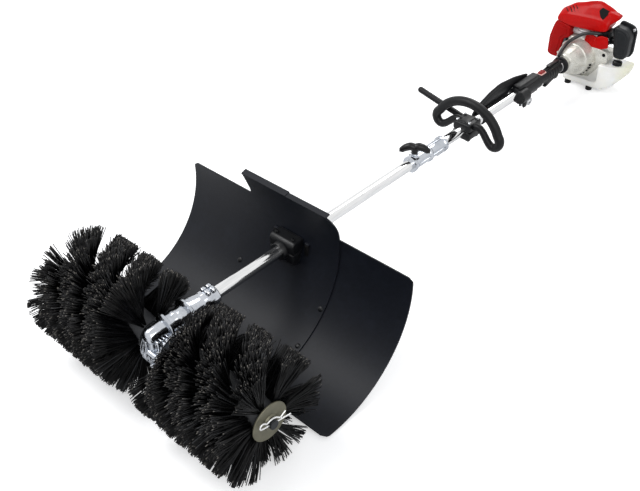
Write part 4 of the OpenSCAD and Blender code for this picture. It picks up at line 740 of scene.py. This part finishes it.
collar = bored([(17.4, 1520.6), (18, 1521.4), (18, 1529.8), (17.4, 1530.6)],
               [(14.1, 1530.6), (14.1, 1520.6)], "y")
piece("grip_collar", [collar], chrome)
trigger = [plate([(1508, -18), (1508, -27), (1483, -33), (1459, -39.5), (1449, -39), (1450, -35), (1457, -30),
                  (1487, -20)], "x", -5, 5, 1.4), peg(3, -8.4, 8.4, "x", (0, 1503, -23))]
piece("trigger_lever", trigger, knob_black, "throttle_trigger", body="trigger")
lockout = [plate([(1518, 18), (1518, 26), (1503, 28), (1465, 29.5), (1453, 28), (1453, 25.4), (1463, 22.6)],
                 "x", -5, 5, 1.2), peg(3, -8.4, 8.4, "x", (0, 1513, 23))]
piece("lockout_lever", lockout, knob_black, "trigger_lockout", body="lockout")
switch_red = coat("switch_red", "7d0f10", "a01a18", 0.34, 0, 1200, 0.08, 0.25, "b8322c", sheen=0.35)
# The pale pink plate under the stop switch shows as a margin round it: a painted highlight on the switch's
# edges, not a part of the tool.
highlight_pink = coat("switch_highlight_plate", "e3a79c", "f3cfc7", 0.4, 0, 1200, 0.05, 0.3, "d98a80")
switch_highlight_plate = plate([(-9, 1408), (9, 1408), (9, 1437), (-9, 1437)], "z", 14, 18, 0.8)
piece("switch_highlight_plate", [switch_highlight_plate], highlight_pink)
switch = [block((-6.6, 1411, 17.6), (6.6, 1433, 22), 1.2)]
switch += [block((-5.6, y, 21), (5.6, y + 3.4, 24), 0.9) for y in (1414.6, 1420.6, 1426.6)]
piece("stop_slider", switch, switch_red, "stop_switch", body="switch")

# Throttle conduit: a black plastic-sheathed cable that comes out of the top of the grip, lies over the left
# of the clutch housing and ends in the carburettor. From here on, E is the front of the engine along Y.
E, CONDUIT_R, STEPS = 1548, 5.2, 6
route = np.array([(-12, -9, 24), (-13.5, 2, 30.5), (-16, 14, 36), (-18, 30, 40.5), (-17.5, 46, 46.5),
                  (-12, 60, 54), (-3, 70, 62), (8, 78.5, 70), (21, 83, 76), (34, 86.5, 79), (45, 91, 80),
                  (53, 97, 80), (58, 103, 80), (60, 108, 80)]) + (0, E, 0)
sheath = coat("conduit_sheath", "08080a", "17181a", 0.3, 0, 2200, 0.2, 0.2, "26272a")
conduit = piece("conduit", [rods(route, CONDUIT_R, 16, STEPS)], sheath, "throttle_cable")

# Clutch and fan housing: a cream-grey die casting like a trumpet, ribbed along its length and bolted to the
# crankcase plate behind it. The crankcase carries the cylinder, and has a pad for the carburettor.
cream = coat("engine_casting", "bdbbb0", "eeede6", 0.28, 0.35, 700, 0.22, 0.4, "9a9686")
bell = np.array([(18.5, -8, 0), (20, -6.5, 0), (20, 2, 0), (27, 3.5, 0), (29.5, 6, 0), (33, 14, 0.5),
                 (38, 28, 1.5), (42.5, 42, 3), (46, 54, 4.4), (47, 56, 4.6), (49.5, 57.5, 4.8), (53, 68, 6),
                 (56, 80, 7.2), (57.4, 84, 7.6), (58, 86, 8), (58, 92, 8)])
inner = np.array([(53, 92, 8), (53, 88, 8), (51, 80, 7.2), (44, 62, 5.4), (36, 48, 4), (33, 38, 3), (22, 32, 1),
                  (16, 22, 0), (16, 10, 0), (8, 10, 0), (8, 0, 0), (14.2, 0, 0), (14.2, -8, 0)])
sinks = np.concatenate([bell[:, 2], inner[:, 2], bell[:1, 2]])
bell_parts = [bored(bell[:, :2] + (0, E), inner[:, :2] + (0, E), "y", n=72, sink=sinks)]
t = np.linspace(8, 54, 14)
rib_at = np.interp(t, bell[4:, 1], bell[4:, 0]) + 1.8 * np.sin(np.pi * (t - 6) / 50)
q = np.array([(-1.6, -6), (-1.1, 0), (1.1, 0), (1.6, -6)])
rib = shell(np.stack(np.broadcast_arrays(q[:, 0], (t + E)[:, None], rib_at[:, None] + q[:, 1]), -1))
for a in range(20, 341, 40):
    V, quads, tris = spun(rib, "y", a)
    V[:, 2] -= np.interp(V[:, 1] - E, bell[:, 1], bell[:, 2])
    bell_parts.append((V, quads, tris))
screw_boss = peg(5.2, 76, 92, "y", (0, E, 58), 24)
bell_parts += [spun(screw_boss, "y", a) for a in (100, 140, 220, 262)]
bell_parts += [spun(block((-4, E + 1, 18), (4, E + 14, 29), 2), "y", a) for a in (60, 180, 300)]
piece("trumpet_housing", bell_parts, cream, "clutch_housing")
# Near-black slits round the housing and a disc on its right: painted shade in its openings.
slit = block((-2.2, E + 69, 50), (2.2, E + 83, 60.5), 1.5)
slits = [spun(slit, "y", a) for a in (104, 115, 126, 137, 148, 212, 238)]
slits.append(peg(5.5, 91.4, 94, "y", (84, E, 20), 24))
piece("housing_slots", slits, shade_fill)
flange = [(-57, -40), (-57, 20), (-40, 34), (70, 34), (95, 28), (97, -4), (80, -7), (80, -36), (60, -44),
          (46, -64), (-40, -64)]
base = [plate(flange, "y", E + 92, E + 102, 1.5, 6), block((-46, E + 101, -64), (46, E + 160, 46), 5),
        block((44, E + 106, -2), (96, E + 150, 26), 4)]
base += [block((-48, E + t, -60), (48, E + t + 3, 40), 1.2) for t in (112, 124, 136, 148)]
piece("crankcase_block", base, cream, "crankcase")
# The cylinder sits in the hood's shade; it is made near white and hardly metallic so that it reads as lit:
# painted light.
painted_light_alloy = coat("painted_light_alloy", "d2d3d4", "f2f2f2", 0.42, 0.15, 600, 0.2, 0.3, "a8a9aa")
repaint(dark_steel, "clutch_drum", "muffler")
repaint(bronze, "clutch_shoes")
repaint(cast, "flywheel_fan")
repaint(steel, "crankshaft")
repaint(painted_light_alloy, "cylinder_block")

# Engine covers: glossy red mouldings. The hood over the cylinder rises to a ridge and drops to a beak on the
# right, a leg on the left shields the muffler, and a small shroud stands in front of the cylinder.
red = coat("red_moulding", "ac0404", "c80b08", 0.28, 0, 900, 0.03, 0.15, "d21a14", sheen=0.12, clear=0.05)
deep_red = coat("red_leg", "8f0303", "ad0605", 0.32, 0, 900, 0.03, 0.15, "b80e0c", sheen=0.1, clear=0.03)
front = [(-91, 86), (-43, 77), (41, 82), (75, 90), (79, 104), (72, 117), (58, 121), (28, 121), (-4, 119),
         (-63, 114), (-88, 103)]
ridge = [(-92, 86), (-43, 77), (41, 82), (75, 90), (87, 145), (75, 152), (57, 159), (34, 164), (10, 160),
         (-50, 142), (-89, 115)]
rear = [(-80, 88), (-43, 80), (41, 84), (74, 92), (76, 106), (70, 118), (58, 127), (30, 134), (0, 130),
        (-50, 112), (-76, 100)]
# each cut: place along Y, way from front (0) over ridge (1) to rear (2), and how far it is drawn in
cuts = np.array([(95, 0, 5), (95.6, 0, 2), (97.5, 0.02, 0.4), (102, 0.2, 0), (110, 0.6, 0), (117, 0.9, 0),
                 (122, 1, 0), (128, 1, 0), (134, 1.12, 0), (142, 1.42, 0), (150, 1.74, 0), (155.5, 1.95, 0.4),
                 (157.4, 2, 2), (158, 2, 5)])
forms = [np.array(p) for p in (front, ridge, rear)]
sections = []
for _, mix, by in cuts:
    k = int(mix > 1)
    sections.append(inset(rounded(forms[k] * (1 - mix + k) + forms[k + 1] * (mix - k), 7), by))
hood = loft(sections, cuts[:, 0] + E)
beak = plate([(70, 98), (82, 113), (97, 126), (104, 134), (106, 143), (86, 149), (66, 150)], "y", E + 103,
             E + 126, 4, 6)
crest = rods([(-60, E + 121, 133), (-20, E + 123, 148), (10, E + 124, 158), (34, E + 125, 161.5),
              (58, E + 124, 156)], [2, 4, 5, 5, 3], 14, 6)
piece("hood", [hood, beak, crest], red, "top_cover", crease=42)
leg = [(-107, -22), (-107, 29), (-98, 67), (-90, 85), (-43, 76.3), (-40, 70), (-38, 42), (-60, 30), (-63, 0),
       (-66, -34), (-92, -34), (-104, -29)]
leg_face = [(-98, -22), (-98, 27), (-90, 62), (-84, 74), (-52, 68), (-49, 47), (-69, 35), (-73, 0), (-76, -25)]
leg_parts = [plate(leg, "y", E + 95, E + 164, 4, 7), plate(leg_face, "y", E + 93.2, E + 97, 1.6, 5)]
leg_parts += [block((-108.4, E + 104, z), (-100, E + 156, z + 3), 1.2) for z in (-14, -4, 6, 16)]
piece("muffler_leg", leg_parts, deep_red, "muffler_cover", crease=42)
shroud = [plate([(9, 38), (30, 34.3), (70, 34.3), (92, 44), (86, 76), (62, 76), (50, 68), (36, 72), (16, 66)],
                "y", E + 92.5, E + 97, 1.6, 5),
          block((44, E + 90.6, 38), (52, E + 95, 66), 1.8), block((20, E + 91, 44), (25, E + 95, 62), 1.5)]
piece("front_shroud", shroud, red, "lower_shroud")


def skin(x, e):
    """Height of the hood's upper skin: every cross-section read at x, then mixed between two cuts at e."""
    lid, at = [p[len(p) * 4 // len(front):][::-1] for p in sections], cuts[:, 0]
    high = np.array([np.interp(x, p[:, 0], p[:, 1]) for p in lid])
    k, i = np.clip(np.searchsorted(at, e), 1, len(at) - 1), np.arange(len(x))
    f = (e - at[k - 1]) / (at[k] - at[k - 1])
    return high[k - 1, i] * (1 - f) + high[k, i] * f


# Near-black strips in the hood's four vents and a rim in its mouth: painted shade.
holes = []
q = np.array([(-1.9, -2.5), (-1.9, 0.6), (1.9, 0.6), (1.9, -2.5)])
for x0, e0, x1, e1 in ((-74, 115, -60, 101), (-64, 115, -47, 101), (-54, 114.6, -38, 102.5),
                       (-43, 114, -28, 104)):
    x, e = np.linspace(x0, x1, 7), np.linspace(e0, e1, 7)
    strip = np.broadcast_arrays(x[:, None] + q[:, 0], E + e[:, None], skin(x, e)[:, None] + q[:, 1])
    holes.append(shell(np.stack(strip, -1)))
mouth = rounded([(36, 108.5), (43.6, 114), (70, 114), (57, 99), (46, 102)], 2, 4)
rim = np.stack([mouth[:, 0], E + mouth[:, 1], skin(*mouth.T)], -1)
holes.append(shell(np.stack([rim - (0, 0, 4), rim + (0, -0.4, 1.1)])))
piece("hood_openings", holes, shade_fill)

# Carburettor and air filter: a dark body on the right of the cylinder with a slanted base plate for the filter
# and a pale choke arm. The filter's cover is a rounded black box with a flange at its back, held by one screw.
satin = coat("filter_plastic", "0e1012", "1c1f22", 0.38, 0, 1200, 0.15, 0.35, "2a2d31", sheen=0.3)
body = [block((44, E + 108, 46), (86, E + 146, 88), 3),
        turned([(0, 85), (13, 85), (13, 88), (11, 89), (11, 111), (0, 111)], "x", (0, E + 126, 58), 36),
        plate([(93, 108), (96.8, 108), (119.5, 32), (115.7, 32)], "y", E + 96, E + 136, 1, 2),
        turned([(0, 100), (7, 100), (8, 101), (8, 109), (0, 109)], "y", (54, E, 58), 28),
        block((58, E + 104, 70), (74, E + 109, 84), 1.5),
        peg(4, 104, 110, "y", (60, E, 80))]
piece("carburettor_body", body, black, "carburettor")
box = [plate([(108, 27), (114, 18), (142, 18), (151, 34), (151, 94), (137, 111), (104, 117), (97, 110)], "y",
             E + 95, E + 137, 7, 12),
       plate([(112, 26), (118, 16), (146, 16), (156, 34), (155, 104), (144, 118), (106, 125), (99, 119),
              (97, 110)], "y", E + 130, E + 137, 2, 10),
       plate([(116, 40), (122, 30), (140, 32), (143, 88), (132, 101), (110, 106)], "y", E + 93.4, E + 99, 2, 9)]
piece("filter_box", box, satin, "filter_cover")
screw_head = [turned([(0, 136), (2.4, 136), (2.4, 130), (4.5, 129.6), (4.5, 125), (3.6, 124), (0, 124)], "y",
                     (147, E, 107), 24), block((146, E + 121.5, 103), (148, E + 125, 111), 0.6)]
piece("filter_screw", screw_head, steel, "filter_knob", body="filter_screw")
choke = [turned([(0, 103), (5.4, 103), (6, 103.8), (6, 107.4), (0, 107.4)], "y", (78, E, 64), 28),
         block((54, E + 103, 60), (80, E + 107.4, 68), 1.8),
         peg(3, 104, 117, "y", (78, E, 64))]
lever = coat("lever_plastic", "b9b9b4", "dededa", 0.4, 0, 900, 0.1, 0.3, "8f8f8a")
piece("choke_arm", choke, lever, "choke_lever", body="choke")

# Fuel tank: a milky plastic moulding under the engine, low on the left and taller under the filter, with a
# rounded front corner and a faint yellow tint towards the right. A black screw cap closes it, and four rubber
# feet carry it.
milky = coat("tank_plastic", "ecebe4", "fdfdfa", 0.26, 0, 300, 0.04, 0.3, "e6e0c4")
tree = milky.node_tree
main = tree.nodes["Principled BSDF"].inputs
place = node(tree, "SeparateXYZ", {0: node(tree, "TexCoord")["Object"]})
# Yellow tint, rising towards the right of the tank with its X place.
fuel = node(tree, "MapRange", {"Value": place["X"], "From Min": 0.128, "From Max": 0.156, "To Max": 0.4})
plain = main["Base Color"].links[0].from_socket
tint = node(tree, "Mix", {"Factor": fuel[0], "A": plain, "B": colour("f1efb4")}, data_type="RGBA")
put(tree, main, {"Subsurface Weight": 0.25, "Subsurface Radius": (0.012, 0.011, 0.008),
                 "Base Color": tint["Result"]})
profile = rounded([(-34, -80), (-26, -88), (96, -88), (124, -74), (145, -50), (156, -22), (156, -8), (77, -8),
                   (77, -64), (-34, -64)], 7, 6)
tank_cuts = np.array([(78, 5), (78.7, 2.2), (81, 0), (84, 0), (88, 0), (94, 0), (100, 0), (108, 0), (116, 0),
                      (124, 0), (134, 0), (146, 0), (158, 0), (162, 0), (164.3, 2.2), (165, 5)])
nose_e = [78, 83, 88, 96, 104, 114, 124, 135, 146]
nose_x = [94, 108, 119, 131, 141, 149, 154, 156, 157]
slices = []
for e, by in tank_cuts:
    p = inset(profile, by)
    p[:, 0] = np.minimum(p[:, 0], np.interp(e, nose_e, nose_x) - by)
    slices.append(p)
CAP_X, CAP_Y, CAP_R, TEETH, CAP_N = 122, E + 114, 13.8, 16, 96
tank = [loft(slices, tank_cuts[:, 0] + E),
        bored([(13, -10), (13, -2.4), (12.4, -2)], [(10, -2), (10, -10)], "z", (CAP_X, CAP_Y, 0), 40),
        block((-35, E + 80, -70), (86, E + 164, -67.5), 1)]
piece("tank", tank, milky, "fuel_tank")
a = np.linspace(0, 2 * np.pi, CAP_N, endpoint=False)
knurl = CAP_R + 0.6 * np.sign(np.sin(TEETH * a))
wide, high = np.array([(0.93, -7.7), (1, -6.6), (1, 2.6), (0.93, 4), (0.8, 4.2)]).T[:, :, None]
cap = [shell(np.stack([CAP_X + wide * knurl * np.cos(a), CAP_Y + wide * knurl * np.sin(a), high + 0 * a], -1)),
       block((109, E + 112, 3.4), (135, E + 116, 7), 1.4)]
piece("tank_cap", cap, black, "fuel_cap", body="cap")
feet = []
for x, e in ((-15, 88), (-15, 150), (58, 88), (58, 150)):
    V, quads, tris = turned([(0, -112), (9, -112), (10, -111), (10, -88), (0, -88)], "z", (x, E + e, 0), 32)
    ground = (V[:, 1] * math.sin(TILT) - HEIGHT) / math.cos(TILT)
    V[:, 2] = np.maximum(V[:, 2], ground + 0.02)
    feet.append((V, quads, tris))
piece("rubber_feet", feet, rubber, "tank_feet")

# Starter: a dark moulded round housing screwed on the back of the crankcase with four lugs.
# Its end wall has cooling slots and, off centre, the hole of the rope;
# the rubber handle sits in front of that hole and draws the pale braided rope out of it.
ROPE, HOLE_R, ROPE_R = (-30, 24), 2.6, 1.6
rope_at = (ROPE[0], E, ROPE[1])
hole = math.hypot(*ROPE)
rim = [(52, 160), (52, 184), (50, 190), (46, 193), (43.5, 193.8), (42, 192.6), (HOLE_R, 192.6)]
inside = [(HOLE_R, 189), (44, 189), (48, 185), (48, 160)]
u = axis_frame("y")[1]
# the rings of the hole sink against u, so the case is turned until they come to the rope
rope_turn = math.degrees(math.atan2(*ROPE) - math.atan2(-u[0], -u[2]))
sinks = [0] * 6 + [hole] * 2 + [0] * 4
drum_case = [spun(bored(rim, inside, "y", (0, E, 0), 96, sinks), "y", rope_turn, (0, E, 0)),
             turned([(0, 193), (4.2, 193), (4.2, 194), (18, 194), (22, 192.4), (22, 191), (0, 191)], "y",
                    (0, E, 0), 64)]
drum_case += [spun(block((-5, E + 160, 48), (5, E + 172, 58), 2.5), "y", a) for a in (45, 135, 225, 315)]
piece("starter_case", drum_case, satin, "starter_housing")
# Near-black blocks in the starter's cooling slots: painted shade.
vents = [block((x, E + 190, -34), (x + 5, E + 192.9, -8), 0.4) for x in range(-14, 27, 10)]
piece("starter_slots", vents, shade_fill)
pull = [turned([(0, 189), (3.8, 189), (3.8, 196), (8, 197), (8, 202), (0, 202)], "y", rope_at, 28),
        block((-52, E + 198, 18), (-8, E + 206, 30), 3.5)]
piece("pull_handle", pull, rubber, "starter_handle", body="pull")
braid = coat("starter_rope", "cfcabb", "efece2", 0.8, 0, 2600, 0.4, 0.4, "a8a294")
rope = peg(ROPE_R, 126, 190, "y", rope_at, 12)
piece("pull_rope", [rope], braid, body="pull")
